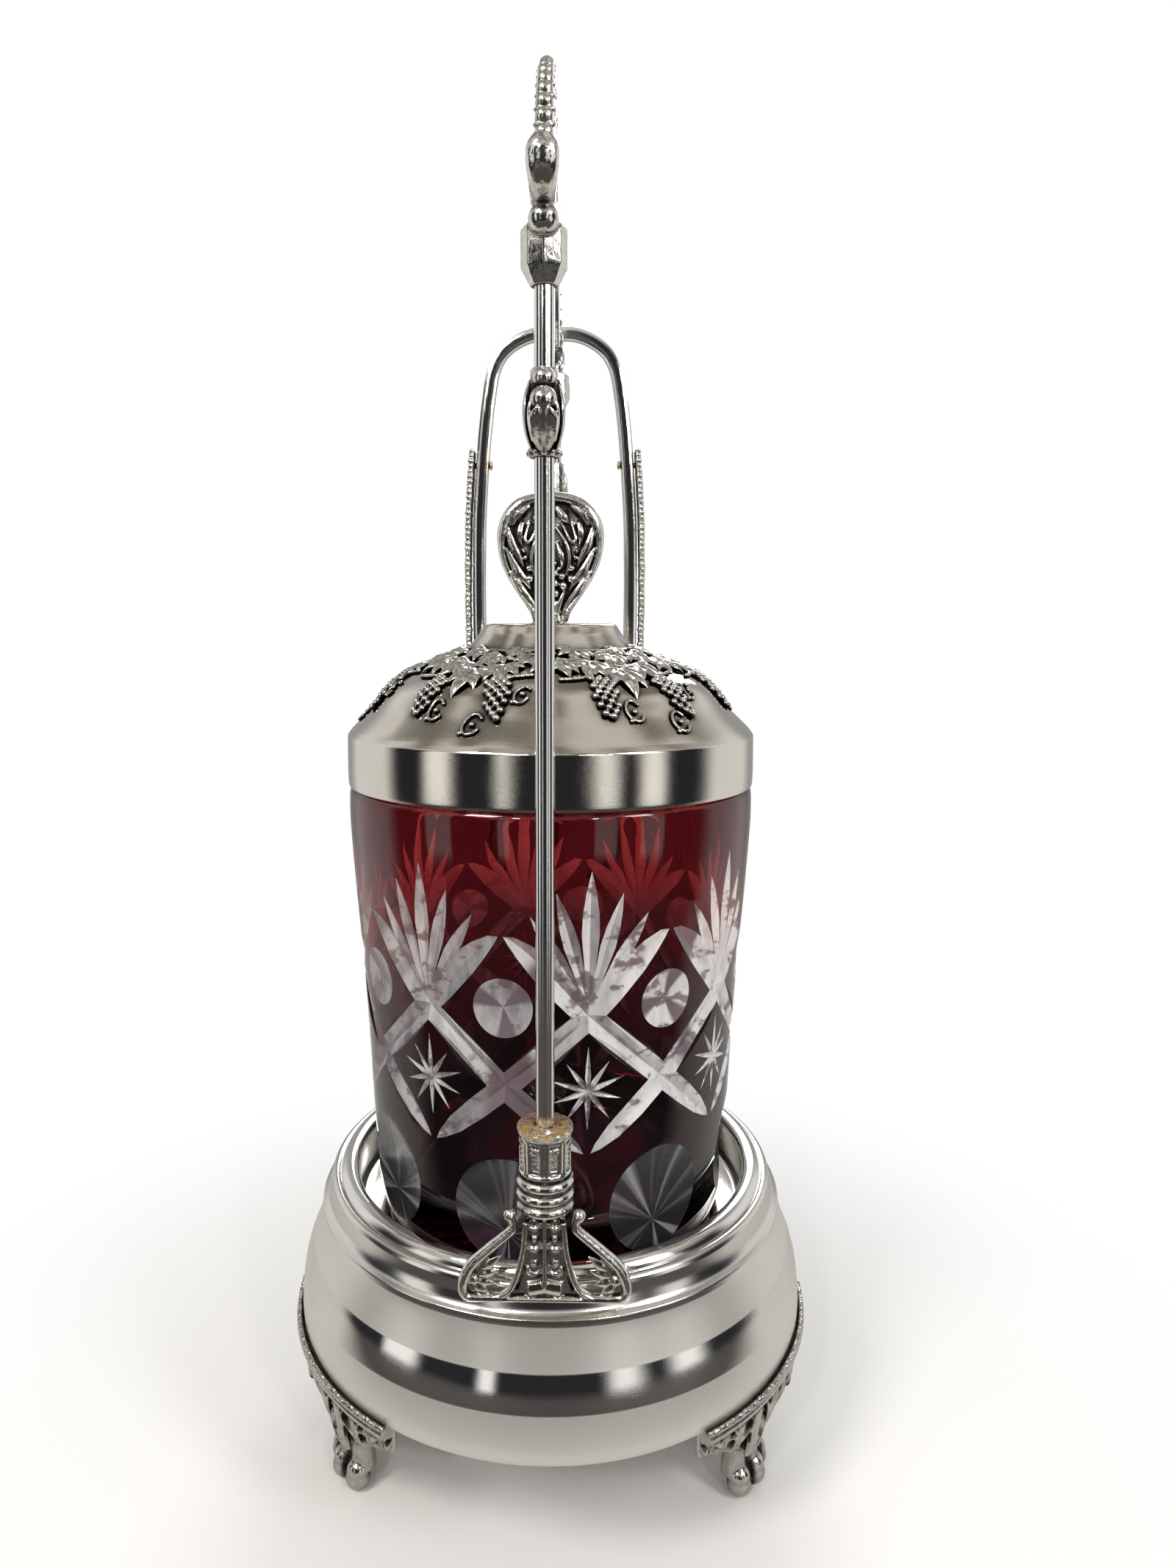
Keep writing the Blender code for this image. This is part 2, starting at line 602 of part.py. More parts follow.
def make_rods():
    """Two straight posts, stepped down to a thread that passes through the rim."""
    shoulder_z = pad_bottom_z + PAD_THICKNESS + PIECE_GAP
    washer_z = shell_top_z - SHEET - PIECE_GAP
    nut_z = washer_z - WASHER_THICKNESS - PIECE_GAP
    thread_end_z = nut_z - NUT_HEIGHT - ROD_THREAD_BELOW_NUT
    for place, side in (("front", -1), ("back", 1)):
        item = turned("post_rod_" + place, [
            (0, rod_top_z), (ROD_RADIUS, rod_top_z), (ROD_RADIUS, shoulder_z),
            (ROD_THREAD_RADIUS, shoulder_z), (ROD_THREAD_RADIUS, thread_end_z),
            (0, thread_end_z)], SMALL_STEPS)
        item.location.y = side * post_radius
        give_finish(item, BRIGHT_SILVER)
        make_washer("post_washer_" + place, WASHER_RADIUS, ROD_THREAD_RADIUS,
                    side * post_radius, washer_z)
        make_nut("post_nut_" + place, ROD_THREAD_RADIUS, side * post_radius, nut_z)


def make_bracket(place, side):
    """A cast socket: column, faceted cup with rings, and a scrolled front plate."""
    def level(share):
        return pad_bottom_z + BRACKET_HEIGHT * share

    column = SOCKET_RADIUS * COLUMN_SHARE
    groove = SOCKET_RADIUS * SOCKET_GROOVE_SHARE
    ring = SOCKET_RADIUS * SOCKET_RING_SHARE
    facet = SOCKET_RADIUS * SOCKET_FACET_SHARE
    profile = [(0, socket_top_z), (SOCKET_RADIUS, socket_top_z)]
    profile.append((SOCKET_RADIUS, level(SOCKET_FLANGE_Z_SHARE)))
    profile.append((facet, level(SOCKET_FLANGE_Z_SHARE)))
    profile.append((facet, level(SOCKET_FACET_Z_SHARE)))
    for index, share in enumerate(RING_Z_SHARES):
        profile.append((groove if index % 2 else ring, level(share)))
    profile.append((column, level(RING_Z_SHARES[-1])))
    profile.append((column, pad_bottom_z))
    profile.append((0, pad_bottom_z))
    item = turned("bracket_" + place, profile, SMALL_STEPS)
    item.location.y = side * post_radius
    outline = [
        (BRACKET_HALF_WIDTH * x, pad_bottom_z + BRACKET_HEIGHT * z)
        for x, z in BRACKET_OUTLINE_SHARES]
    mirrored = [(-x, z) for x, z in reversed(outline)]
    hole = [
        (BRACKET_HALF_WIDTH * x, pad_bottom_z + BRACKET_HEIGHT * z)
        for x, z in BRACKET_HOLE_SHARES]
    other_hole = [(-x, z) for x, z in hole]
    plate = flat_plate(
        "bracket_plate_" + place, outline + mirrored, [hole, other_hole],
        BRACKET_PLATE_THICKNESS, BRACKET_EDGE_ROUND)
    reach = post_radius + BRACKET_PLATE_OFFSET + BRACKET_PLATE_THICKNESS / 2
    plate.location.y = side * reach
    combine(item, plate, "UNION")
    bore = turned("bracket_bore_" + place, [
        (0, socket_top_z + CUT_OVERRUN),
        (ROD_RADIUS + PIECE_GAP, socket_top_z + CUT_OVERRUN),
        (ROD_RADIUS + PIECE_GAP, pad_bottom_z + PAD_THICKNESS),
        (ROD_THREAD_RADIUS + PIECE_GAP, pad_bottom_z + PAD_THICKNESS),
        (ROD_THREAD_RADIUS + PIECE_GAP, pad_bottom_z - CUT_OVERRUN),
        (0, pad_bottom_z - CUT_OVERRUN)], SMALL_STEPS)
    bore.location.y = side * post_radius
    combine(item, bore, "DIFFERENCE")
    give_finish(item, CAST_SILVER)


def arch_point(share, inset):
    """A point on the arch, from the front foot (0) to the back foot (1)."""
    angle = math.pi * (1 - share)
    y = (arch_half_span - inset) * math.cos(angle)
    z = arch_centre_z + (ARCH_RISE - inset) * math.sin(angle)
    return y, z


def arch_holes():
    """The windows of the openwork band, as loops with rounded ends."""
    loops = []
    span = 1 - 2 * ARCH_WINDOW_FIRST_SHARE
    pitch = span / ARCH_WINDOWS
    low_inset = ARCH_OUTER_RIM
    high_inset = ARCH_BAND - ARCH_INNER_RIM
    middle_inset = (low_inset + high_inset) / 2
    for index in range(ARCH_WINDOWS):
        centre = ARCH_WINDOW_FIRST_SHARE + pitch * (index + 0.5)
        half = pitch * ARCH_WINDOW_FILL_SHARE / 2
        edge = half * ARCH_WINDOW_EDGE_SHARE
        loop = [arch_point(centre + step, low_inset) for step in (-edge, 0, edge)]
        loop.append(arch_point(centre + half, middle_inset))
        loop.extend(arch_point(centre + step, high_inset) for step in (edge, 0, -edge))
        loop.append(arch_point(centre - half, middle_inset))
        loops.append(loop)
    return loops


def make_arch():
    """The cast arch with its end blocks, shoulder saddles and edge beads."""
    outer = [arch_point(step / ARCH_STEPS, 0) for step in range(ARCH_STEPS + 1)]
    inner = [arch_point(step / ARCH_STEPS, ARCH_BAND) for step in range(ARCH_STEPS + 1)]
    foot_z = block_top_z - BLOCK_TAPER
    foot_outer = post_radius + BLOCK_RADIUS / 2
    foot_inner = post_radius - BLOCK_RADIUS / 2
    outline = [(-foot_inner, foot_z), (-foot_outer, foot_z), *outer]
    outline.extend([(foot_outer, foot_z), (foot_inner, foot_z)])
    outline.extend(reversed(inner))
    item = flat_plate("arch", outline, arch_holes(), ARCH_THICKNESS, ARCH_EDGE_ROUND)
    item.rotation_euler.z = math.pi / 2
    for side in (-1, 1):
        add_block(item, side)
        add_saddle(item, side)
    add_beads(item)
    give_finish(item, CAST_SILVER)


def add_block(arch, side):
    """An eight-sided block with a tapered foot, bored for the post."""
    sides = 8
    block = turned("arch_block", [
        (0, block_top_z), (BLOCK_RADIUS, block_top_z),
        (BLOCK_RADIUS, block_bottom_z + BLOCK_TAPER),
        (BLOCK_RADIUS * BLOCK_TAPER_SHARE, block_bottom_z), (0, block_bottom_z)], sides)
    block.location.y = side * post_radius
    combine(arch, block, "UNION")
    knob = ball("arch_knob", BLOCK_BALL_RADIUS,
                (0, side * (post_radius + BLOCK_RADIUS / 2), block_top_z + BLOCK_BALL_RADIUS / 2))
    combine(arch, knob, "UNION")
    bore = cylinder(
        "arch_bore", ROD_RADIUS + PIECE_GAP, block_bottom_z - CUT_OVERRUN,
        rod_top_z + PIECE_GAP, y=side * post_radius)
    combine(arch, bore, "DIFFERENCE")


def add_saddle(arch, side):
    """The smooth shoulder scroll, dished on top so that a bow can hang on it."""
    outline = [
        (arch_half_span + SADDLE_REACH * y, saddle_bottom_z + SADDLE_HEIGHT * z)
        for y, z in SADDLE_SHARES]
    if side < 0:
        outline = [(-y, z) for y, z in outline]
    saddle = flat_plate(
        "arch_saddle", outline, [], SADDLE_THICKNESS, SADDLE_EDGE_ROUND, 2)
    saddle.rotation_euler.z = math.pi / 2
    combine(arch, saddle, "UNION")


def add_beads(arch):
    """A row of beads along the outer edge, smaller towards the crown."""
    span = ARCH_BEAD_END_SHARE - ARCH_BEAD_START_SHARE
    for side in (-1, 1):
        for index in range(ARCH_BEADS_PER_SIDE):
            way = index / (ARCH_BEADS_PER_SIDE - 1)
            share = (ARCH_BEAD_START_SHARE + span * way) / 2
            radius = ARCH_BEAD_LARGE + (ARCH_BEAD_SMALL - ARCH_BEAD_LARGE) * way
            y, z = arch_point(share, radius / 2)
            bead = ball("arch_bead", radius, (0, -side * y, z), detail=1)
            combine(arch, bead, "UNION")


def make_post_hook(place, side):
    """A cast knop on a post: sleeve, upturned bud, ball and two side leaves."""
    low_z = block_bottom_z - HOOK_DROP
    high_z = low_z + HOOK_HEIGHT
    collar_z = low_z + HOOK_HEIGHT * HOOK_COLLAR_SHARE
    item = turned("post_hook_" + place, [
        (0, high_z), (HOOK_SLEEVE_RADIUS, high_z), (HOOK_SLEEVE_RADIUS, collar_z),
        (HOOK_COLLAR_RADIUS, collar_z), (HOOK_COLLAR_RADIUS, low_z), (0, low_z)],
        SMALL_STEPS)
    item.location.y = side * post_radius
    rings = []
    steps = 10
    for (y_share, z_share), radius_share in zip(HOOK_PATH_SHARES, HOOK_RADIUS_SHARES):
        radius = HOOK_BUD_RADIUS * radius_share
        centre_y = side * (post_radius + HOOK_REACH * y_share)
        rings.append(ellipse_ring((0, centre_y), radius, radius,
                                  low_z + HOOK_HEIGHT * z_share, steps))
    bud = lofted("hook_bud_" + place, rings)
    combine(item, bud, "UNION")
    tip_y = side * (post_radius + HOOK_REACH * HOOK_PATH_SHARES[-1][0])
    tip_z = low_z + HOOK_HEIGHT * HOOK_PATH_SHARES[-1][1]
    combine(item, ball("hook_tip_" + place, HOOK_BUD_RADIUS, (0, tip_y, tip_z)), "UNION")
    ball_y = side * (post_radius + HOOK_REACH * HOOK_BALL_SHARES[0])
    ball_z = low_z + HOOK_HEIGHT * HOOK_BALL_SHARES[1]
    combine(item, ball("hook_ball_" + place, HOOK_BALL_RADIUS, (0, ball_y, ball_z)), "UNION")
    for x_side in (-1, 1):
        centre = (x_side * HOOK_LEAF_SPREAD,
                  side * (post_radius + HOOK_REACH * HOOK_LEAF_SHARES[0]),
                  low_z + HOOK_HEIGHT * HOOK_LEAF_SHARES[1])
        stretch = (HOOK_LEAF_THICKNESS / HOOK_LEAF_HALF_HEIGHT,
                   HOOK_LEAF_HALF_DEPTH / HOOK_LEAF_HALF_HEIGHT, 1)
        leaf = ball("hook_leaf", HOOK_LEAF_HALF_HEIGHT, centre, stretch, detail=1)
        combine(item, leaf, "UNION")
    bore = cylinder(
        "hook_bore", ROD_RADIUS + PIECE_GAP, low_z - CUT_OVERRUN, high_z + CUT_OVERRUN,
        y=side * post_radius)
    combine(item, bore, "DIFFERENCE")
    give_finish(item, CAST_SILVER)


def tongs_line(share):
    """The middle line of the right leg at a share of the tongs' length."""
    points = TONGS_OUTLINE_SHARES
    for (x_low, s_low), (x_high, s_high) in zip(points, points[1:]):
        if s_low <= share <= s_high:
            way = (share - s_low) / (s_high - s_low)
            x = TONGS_HALF_WIDTH * (x_low + (x_high - x_low) * way)
            return x, bow_line_z - TONGS_LENGTH * share
    x_end, s_end = points[-1]
    return TONGS_HALF_WIDTH * x_end, bow_line_z - TONGS_LENGTH * max(share, s_end)


def bar_outline(line, thickness):
    """Offset a planar line to both sides by half a thickness."""
    left = []
    right = []
    for index, (x, z) in enumerate(line):
        before = line[max(index - 1, 0)]
        after = line[min(index + 1, len(line) - 1)]
        along = Vector((after[0] - before[0], after[1] - before[1])).normalized()
        left.append((x - along.y * thickness / 2, z + along.x * thickness / 2))
        right.append((x + along.y * thickness / 2, z - along.x * thickness / 2))
    return left + list(reversed(right))


def make_tongs():
    """The bow over the saddle, then each leg's bar, plate, rivets and claw."""
    half = [
        (TONGS_HALF_WIDTH * x, bow_line_z - TONGS_LENGTH * s)
        for x, s in TONGS_OUTLINE_SHARES]
    gap_share = PIECE_GAP / TONGS_LENGTH
    upper = [point for point, (_, s) in zip(half, TONGS_OUTLINE_SHARES) if s < TONGS_HINGE_SHARE]
    lower = [point for point, (_, s) in zip(half, TONGS_OUTLINE_SHARES) if s > TONGS_HINGE_SHARE]
    upper.append(tongs_line(TONGS_HINGE_SHARE))
    lower.insert(0, tongs_line(TONGS_HINGE_SHARE + gap_share))
    bow_line = [(-x, z) for x, z in reversed(upper)] + upper[1:]
    bow = flat_plate(
        "tongs_bow", bar_outline(bow_line, TONGS_THICKNESS), [], TONGS_DEPTH, TONGS_EDGE_ROUND)
    bow.location.y = tongs_y
    give_finish(bow, BRIGHT_SILVER)
    for place, side in (("left", -1), ("right", 1)):
        make_tongs_leg(place, side, lower)


def leg_pivot(place, side):
    """An empty on the flexing point of one leg, with its axis along Y."""
    x, z = tongs_line(TONGS_HINGE_SHARE)
    pivot = bpy.data.objects.new("tongs_pivot_" + place, None)
    pivot.location = (side * x, tongs_y, z)
    bpy.context.collection.objects.link(pivot)
    return pivot


def hang(item, pivot):
    """Parent an object to a pivot and leave it where it is."""
    item.parent = pivot
    item.matrix_parent_inverse = Matrix.Translation(-pivot.location)


def make_tongs_leg(place, side, lower):
    pivot = leg_pivot(place, side)
    line = [(side * x, z) for x, z in lower]
    bar = flat_plate(
        "tongs_bar_" + place, bar_outline(line, TONGS_THICKNESS), [], TONGS_DEPTH,
        TONGS_EDGE_ROUND)
    bar.location.y = tongs_y
    plate = make_tongs_plate(place, side)
    claw = make_claw(place, side)
    for index, share in enumerate(RIVET_SHARES):
        x, z = tongs_line(share)
        inner_x = x - TONGS_THICKNESS / 2 - RIVET_HEAD_HEIGHT - PIECE_GAP
        shank_x = x + TONGS_THICKNESS / 2 + PLATE_THICKNESS / 2
        hole_radius = RIVET_RADIUS + PIECE_GAP
        for target in (bar, plate):
            hole = rivet_shape("rivet_hole", side, inner_x - CUT_OVERRUN, shank_x + PIECE_GAP,
                               z, hole_radius, hole_radius)
            combine(target, hole, "DIFFERENCE")
        number = str(index + 1)
        rivet = rivet_shape("tongs_rivet_" + place + "_" + number, side, inner_x, shank_x, z,
                            RIVET_RADIUS, RIVET_HEAD_RADIUS)
        give_finish(rivet, BRIGHT_SILVER)
        hang(rivet, pivot)
    for item, finish in ((bar, BRIGHT_SILVER), (plate, CAST_SILVER), (claw, CAST_SILVER)):
        give_finish(item, finish)
        hang(item, pivot)


def rivet_shape(name, side, inner_x, outer_x, z, shank_radius, head_radius):
    """A shank along X with a low head at its inner end."""
    head_x = inner_x + RIVET_HEAD_HEIGHT
    stations = [(inner_x, head_radius * RIVET_CROWN_SHARE), (head_x, head_radius)]
    stations.extend([(head_x, shank_radius), (outer_x, shank_radius)])
    steps = 10
    rings = []
    for x, radius in stations:
        ring = []
        for step in range(steps):
            angle = math.tau * step / steps
            ring.append((side * x, tongs_y + radius * math.cos(angle),
                         z + radius * math.sin(angle)))
        rings.append(ring)
    return lofted(name, rings)


def make_tongs_plate(place, side):
    """The cast strip on a leg's outer face, widest near its top third."""
    rings = []
    for station in range(PLATE_STATIONS + 1):
        way = station / PLATE_STATIONS
        share = PLATE_START_SHARE + (PLATE_END_SHARE - PLATE_START_SHARE) * way
        x, z = tongs_line(share)
        swell = math.sin(math.pi * min(way / PLATE_BULGE_END_SHARE, 1)) * PLATE_BULGE_SHARE
        taper = 1 - (1 - PLATE_TIP_SHARE) * way ** 2
        half_depth = PLATE_DEPTH / 2 * taper * (1 + swell)
        inner_x = x + TONGS_THICKNESS / 2 + PIECE_GAP
        outer_x = inner_x + PLATE_THICKNESS
        shoulder_x = inner_x + PLATE_THICKNESS / 2
        ring = [(inner_x, -half_depth), (shoulder_x, -half_depth), (outer_x, -half_depth / 2)]
        ring.extend([(outer_x, half_depth / 2), (shoulder_x, half_depth), (inner_x, half_depth)])
        rings.append([(side * px, tongs_y + py, z) for px, py in ring])
    return lofted("tongs_plate_" + place, rings)


def make_claw(place, side):
    """A small palm under the bar's end, with curved fingers."""
    x, z = tongs_line(TONGS_OUTLINE_SHARES[-1][1])
    top_z = z - PIECE_GAP
    palm_z = top_z - CLAW_LENGTH * CLAW_PALM_SHARE
    half_thickness = CLAW_PALM_THICKNESS / 2
    half_bar = TONGS_DEPTH / 2
    levels = ((top_z, half_bar), ((top_z + palm_z) / 2, CLAW_SPREAD), (palm_z, CLAW_SPREAD))
    rings = [ellipse_ring((side * x, tongs_y), half_thickness, half, level, 12)
             for level, half in levels]
    item = lofted("tongs_claw_" + place, rings)
    for finger in range(CLAW_FINGERS):
        spread = (finger / (CLAW_FINGERS - 1) - 0.5) * 2
        finger_rings = []
        for reach_share, drop_share in zip(CLAW_REACH_SHARES, CLAW_DROP_SHARES):
            centre_x = side * (x + CLAW_LENGTH * reach_share)
            slim = 1 - (1 - CLAW_TIP_SHARE) * drop_share
            fan = 1 - CLAW_FINGER_RADIUS / CLAW_SPREAD + CLAW_FAN_SHARE * drop_share
            centre_y = tongs_y + spread * CLAW_SPREAD * fan
            finger_rings.append(ellipse_ring(
                (centre_x, centre_y), CLAW_FINGER_RADIUS * slim, CLAW_FINGER_RADIUS * slim,
                palm_z + half_thickness - CLAW_LENGTH * (1 - CLAW_PALM_SHARE) * drop_share, 8))
        combine(item, lofted("claw_finger", finger_rings), "UNION")
    return item


def arc_block(name, section, half_angle, steps):
    """Sweep a closed (radius, z) section through an arc centred on -Y."""
    rings = []
    for step in range(steps + 1):
        angle = -half_angle + 2 * half_angle * step / steps
        rings.append([
            (radius * math.sin(angle), -radius * math.cos(angle), z) for radius, z in section])
    return lofted(name, rings)


def make_foot(name, turn):
    """A paw foot: curved flange, leafy apron, cabriole leg, palm and toes."""
    hem_radius = base_radius * SHELL_SHARES[-1][0]
    seat_z = shell_bottom_z - PIECE_GAP
    lip_inner = base_radius + PIECE_GAP
    lip_outer = lip_inner + FLANGE_LIP
    section = [
        (lip_outer - FLANGE_DEPTH * (1 - r), seat_z + FLANGE_HEIGHT * h)
        for r, h in FLANGE_SHARES]
    section.append((lip_inner, seat_z))
    section.append((lip_inner, seat_z + FLANGE_LIP_HEIGHT))
    section.append((lip_outer, seat_z + FLANGE_LIP_HEIGHT))
    item = arc_block(name, section, FLANGE_HALF_ANGLE, FLANGE_STEPS)

    apron_outer = hem_radius - PIECE_GAP
    apron_inner = apron_outer - APRON_THICKNESS
    apron_top = seat_z - FLANGE_HEIGHT / 2
    rings = []
    last = len(APRON_DROP_SHARES) - 1
    for index, drop in enumerate(APRON_DROP_SHARES):
        angle = (index / last - 0.5) * 2 * FLANGE_HALF_ANGLE * APRON_ANGLE_SHARE
        low = seat_z - FOOT_HEIGHT * drop
        corners = [(apron_outer, apron_top), (apron_outer, low), (apron_inner, low),
                   (apron_inner, apron_top)]
        rings.append([(r * math.sin(angle), -r * math.cos(angle), z) for r, z in corners])
    combine(item, lofted(name + "_apron", rings), "UNION")

    rings = []
    lean = apron_inner - paw_radius
    for height, reach, wide, deep in LEG_SHARES:
        rings.append(ellipse_ring(
            (0, -(paw_radius + lean * reach)), PAW_HALF_WIDTH * wide, PAW_HALF_WIDTH * deep,
            FOOT_HEIGHT * height))
    combine(item, lofted(name + "_leg", rings), "UNION")

    spacing = PAW_HALF_WIDTH - TOE_RADIUS / 2
    for step, reach_share in zip((-1, 0, 1), TOE_REACH_SHARES):
        reach = paw_radius + TOE_REACH * reach_share
        toe_centre = (step * spacing, -reach, TOE_RADIUS * TOE_SEAT_SHARE)
        toe = ball(name + "_toe", TOE_RADIUS, toe_centre, TOE_STRETCH_SHARES)
        for vert in toe.data.vertices:
            vert.co.z = max(vert.co.z, 0)
        combine(item, toe, "UNION")
    item.rotation_euler.z = turn
    for modifier in item.modifiers:
        modifier.object.rotation_euler.z = turn
    give_finish(item, CAST_SILVER)


def make_feet():
    names = ("foot_front_right", "foot_back", "foot_front_left")
    for index, name in enumerate(names):
        turn = math.tau / FOOT_COUNT * (index + 0.5)
        make_foot(name, turn)


remove_everything()
make_base_shell()
make_tray()
make_jar()
make_lid()
make_finial()
make_rods()
make_bracket("front", -1)
make_bracket("back", 1)
make_arch()
make_post_hook("front", -1)
make_post_hook("back", 1)
make_tongs()
make_feet()
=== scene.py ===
# %% [markdown]
# # A pickle castor in silver plate and ruby glass
#
# The stand, its jar and its tongs arrive as a plain, correct model: the frame.
# This script dresses that frame. Every piece built here sits where the frame's
# piece sits, and all but the two halves of the tongs' strip move with the same
# body; each only adds what the eye looks for: the cut glass, the beads and grapes
# of the castings, and the silver's finish.

# %% Load the frame
import math
from functools import partial

import bmesh
import bpy
import numpy as np
from mathutils import Matrix, Vector
from mathutils.geometry import delaunay_2d_cdt


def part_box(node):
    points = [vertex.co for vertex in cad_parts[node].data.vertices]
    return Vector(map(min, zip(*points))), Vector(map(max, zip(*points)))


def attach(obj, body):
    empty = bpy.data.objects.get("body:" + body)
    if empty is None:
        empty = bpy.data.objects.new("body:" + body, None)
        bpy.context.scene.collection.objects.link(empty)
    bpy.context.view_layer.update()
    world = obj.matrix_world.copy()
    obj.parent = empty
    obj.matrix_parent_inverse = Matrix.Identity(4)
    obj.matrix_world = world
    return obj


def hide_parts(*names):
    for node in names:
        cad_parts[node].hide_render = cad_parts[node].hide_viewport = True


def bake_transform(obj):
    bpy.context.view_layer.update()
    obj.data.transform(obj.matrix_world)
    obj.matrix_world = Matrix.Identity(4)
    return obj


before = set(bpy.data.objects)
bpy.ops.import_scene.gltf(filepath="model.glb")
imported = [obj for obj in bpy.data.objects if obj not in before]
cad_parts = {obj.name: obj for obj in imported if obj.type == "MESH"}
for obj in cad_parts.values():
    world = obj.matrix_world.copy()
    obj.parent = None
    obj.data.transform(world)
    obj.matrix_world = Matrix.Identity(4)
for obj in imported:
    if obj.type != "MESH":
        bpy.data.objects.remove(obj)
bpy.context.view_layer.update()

# %% [markdown]
# ## Measures
#
# The frame already knows how large everything is, so most places are read from
# its boxes. A few sizes that a box can't tell, such as the thickness of a bead,
# are named here in millimetres.

# %% Read places from the frame
MM = 0.001


def low(node):
    """The corner of a frame piece's box where all three coordinates are least."""
    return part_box(node)[0]


def high(node):
    """The corner of a frame piece's box where all three coordinates are greatest."""
    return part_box(node)[1]


base_bottom, base_top = low("base_shell").z, high("base_shell").z
base_radius = high("base_shell").x
tray_top = high("tray").z
jar_bottom, jar_mouth = low("jar").z, high("jar").z
jar_radius = high("jar").x
lid_bottom, lid_top = low("lid").z, high("lid").z
lid_radius = high("lid").x
post_radius = (high("post_rod_back").y + low("post_rod_back").y) / 2
rod_radius = high("post_rod_back").x
rod_top = high("post_rod_back").z
socket_top = high("bracket_front").z
print("base", round(base_radius / MM, 1), "jar", round(jar_radius / MM, 1), "mm in radius")

# %% [markdown]
# ## Camera
#
# The photo was taken close up, slightly above the lid, with the lens aimed a
# little down. The stand sits left of the middle, which a small sideways shift
# gives without tilting its upright lines.

# %% Camera
IMAGE_WIDTH, IMAGE_HEIGHT = 1600, 2133
FOCAL_PIXELS = 1385
AXIS_PIXEL_X = 749
CAMERA_DISTANCE = 236 * MM
CAMERA_HEIGHT = 193.9 * MM
CAMERA_TILT = math.radians(8.63)
CAMERA_TURN = math.radians(1.2)
SENSOR = 36


def link_new(name, data):
    """A new object in the scene, with the given camera, lamp or mesh."""
    thing = bpy.data.objects.new(name, data)
    bpy.context.collection.objects.link(thing)
    return thing


camera_data = bpy.data.cameras.new("photo_camera")
camera = link_new("photo_camera", camera_data)
camera_data.sensor_fit = "VERTICAL"
camera_data.sensor_height = SENSOR
camera_data.lens = FOCAL_PIXELS / IMAGE_HEIGHT * SENSOR
camera_data.shift_x = (IMAGE_WIDTH / 2 - AXIS_PIXEL_X) / IMAGE_HEIGHT
camera_data.clip_start = 10 * MM
camera.location = (
    CAMERA_DISTANCE * math.sin(CAMERA_TURN), -CAMERA_DISTANCE * math.cos(CAMERA_TURN), CAMERA_HEIGHT)
camera.rotation_euler = (math.pi / 2 - CAMERA_TILT, 0, CAMERA_TURN)
bpy.context.scene.camera = camera
bpy.context.scene.view_settings.view_transform = "Standard"
print("lens", round(camera_data.lens, 1), "mm")

# %% [markdown]
# ## Light, floor and surroundings
#
# Polished silver has no colour of its own: it shows the room. In a white room it
# would vanish, so the world is a soft studio with a pale ceiling and pale sides,
# and a darker side behind the camera, broken by a few upright window panes. That
# gives each rod its dark core and bright flanks. A grey strip far behind the
# stand lends every outline a darker line, though the camera itself sees plain
# white there.

# %% Node helpers


def add_node(tree, kind, **settings):
    """Adds a node, and sets its plain settings or its unlinked sockets."""
    node = tree.nodes.new(kind)
    for key, value in settings.items():
        if hasattr(node, key):
            setattr(node, key, value)
        else:
            node.inputs[key.replace("_", " ")].default_value = value
    return node


def math_node(tree, operation, first, second=None, third=None, clamp=False):
    """A Math node; each input is a socket or a number. Returns its output."""
    node = tree.nodes.new("ShaderNodeMath")
    node.operation = operation
    node.use_clamp = clamp
    for socket, value in zip(node.inputs, (first, second, third)):
        if value is None:
            continue
        if isinstance(value, (int, float)):
            socket.default_value = value
        else:
            tree.links.new(value, socket)
    return node.outputs[0]


def smooth_range(tree, value, start, end):
    """Runs smoothly from 0 to 1 while the value goes from start to end."""
    node = tree.nodes.new("ShaderNodeMapRange")
    node.interpolation_type = "SMOOTHSTEP"
    node.inputs["From Min"].default_value = start
    node.inputs["From Max"].default_value = end
    tree.links.new(value, node.inputs["Value"])
    return node.outputs["Result"]


def mix_colour(tree, factor, first, second):
    """A colour Mix node; each colour is a socket or three numbers."""
    node = tree.nodes.new("ShaderNodeMix")
    node.data_type = "RGBA"
    node.clamp_factor = True
    tree.links.new(factor, node.inputs["Factor"])
    for name, value in (("A", first), ("B", second)):
        socket = next(s for s in node.inputs if s.name == name and s.type == "RGBA")
        if isinstance(value, tuple):
            socket.default_value = (*value, 1)
        else:
            tree.links.new(value, socket)
    return next(s for s in node.outputs if s.type == "RGBA")


def split_axes(tree, vector):
    """The X, Y and Z of a vector, as three outputs."""
    split = tree.nodes.new("ShaderNodeSeparateXYZ")
    tree.links.new(vector, split.inputs[0])
    return list(split.outputs)


print("node helpers ready")

# %% World
DARK_SIDE = (0.022, 0.023, 0.027)
PALE_SIDE = (0.74, 0.74, 0.73)
GREY_BEHIND = (0.34, 0.34, 0.34)
CEILING_DARK = (0.20, 0.19, 0.17)
CEILING_PALE = (0.62, 0.60, 0.57)
WINDOW_LIGHT = (0.95, 0.95, 0.93)
SEEN_THROUGH_GLASS = (0.50, 0.50, 0.51)
WHITE = (1, 1, 1)
WINDOWS = ((-62, 9), (-24, 3.5), (31, 7), (58, 8))
PANE_CORE = 0.75
PANE_FOOT, PANE_HEAD = (-0.32, -0.26), (0.50, 0.40)
DARK_EDGE, DARK_HEAD, DARK_FOOT = (-0.22, 0.02), (0.62, 0.34), (-0.75, -0.45)
CEILING_EDGE = (0.35, 0.75)
CLOUD_EDGE = (0.40, 0.58)
BEHIND_EDGE = (0.66, 0.86)

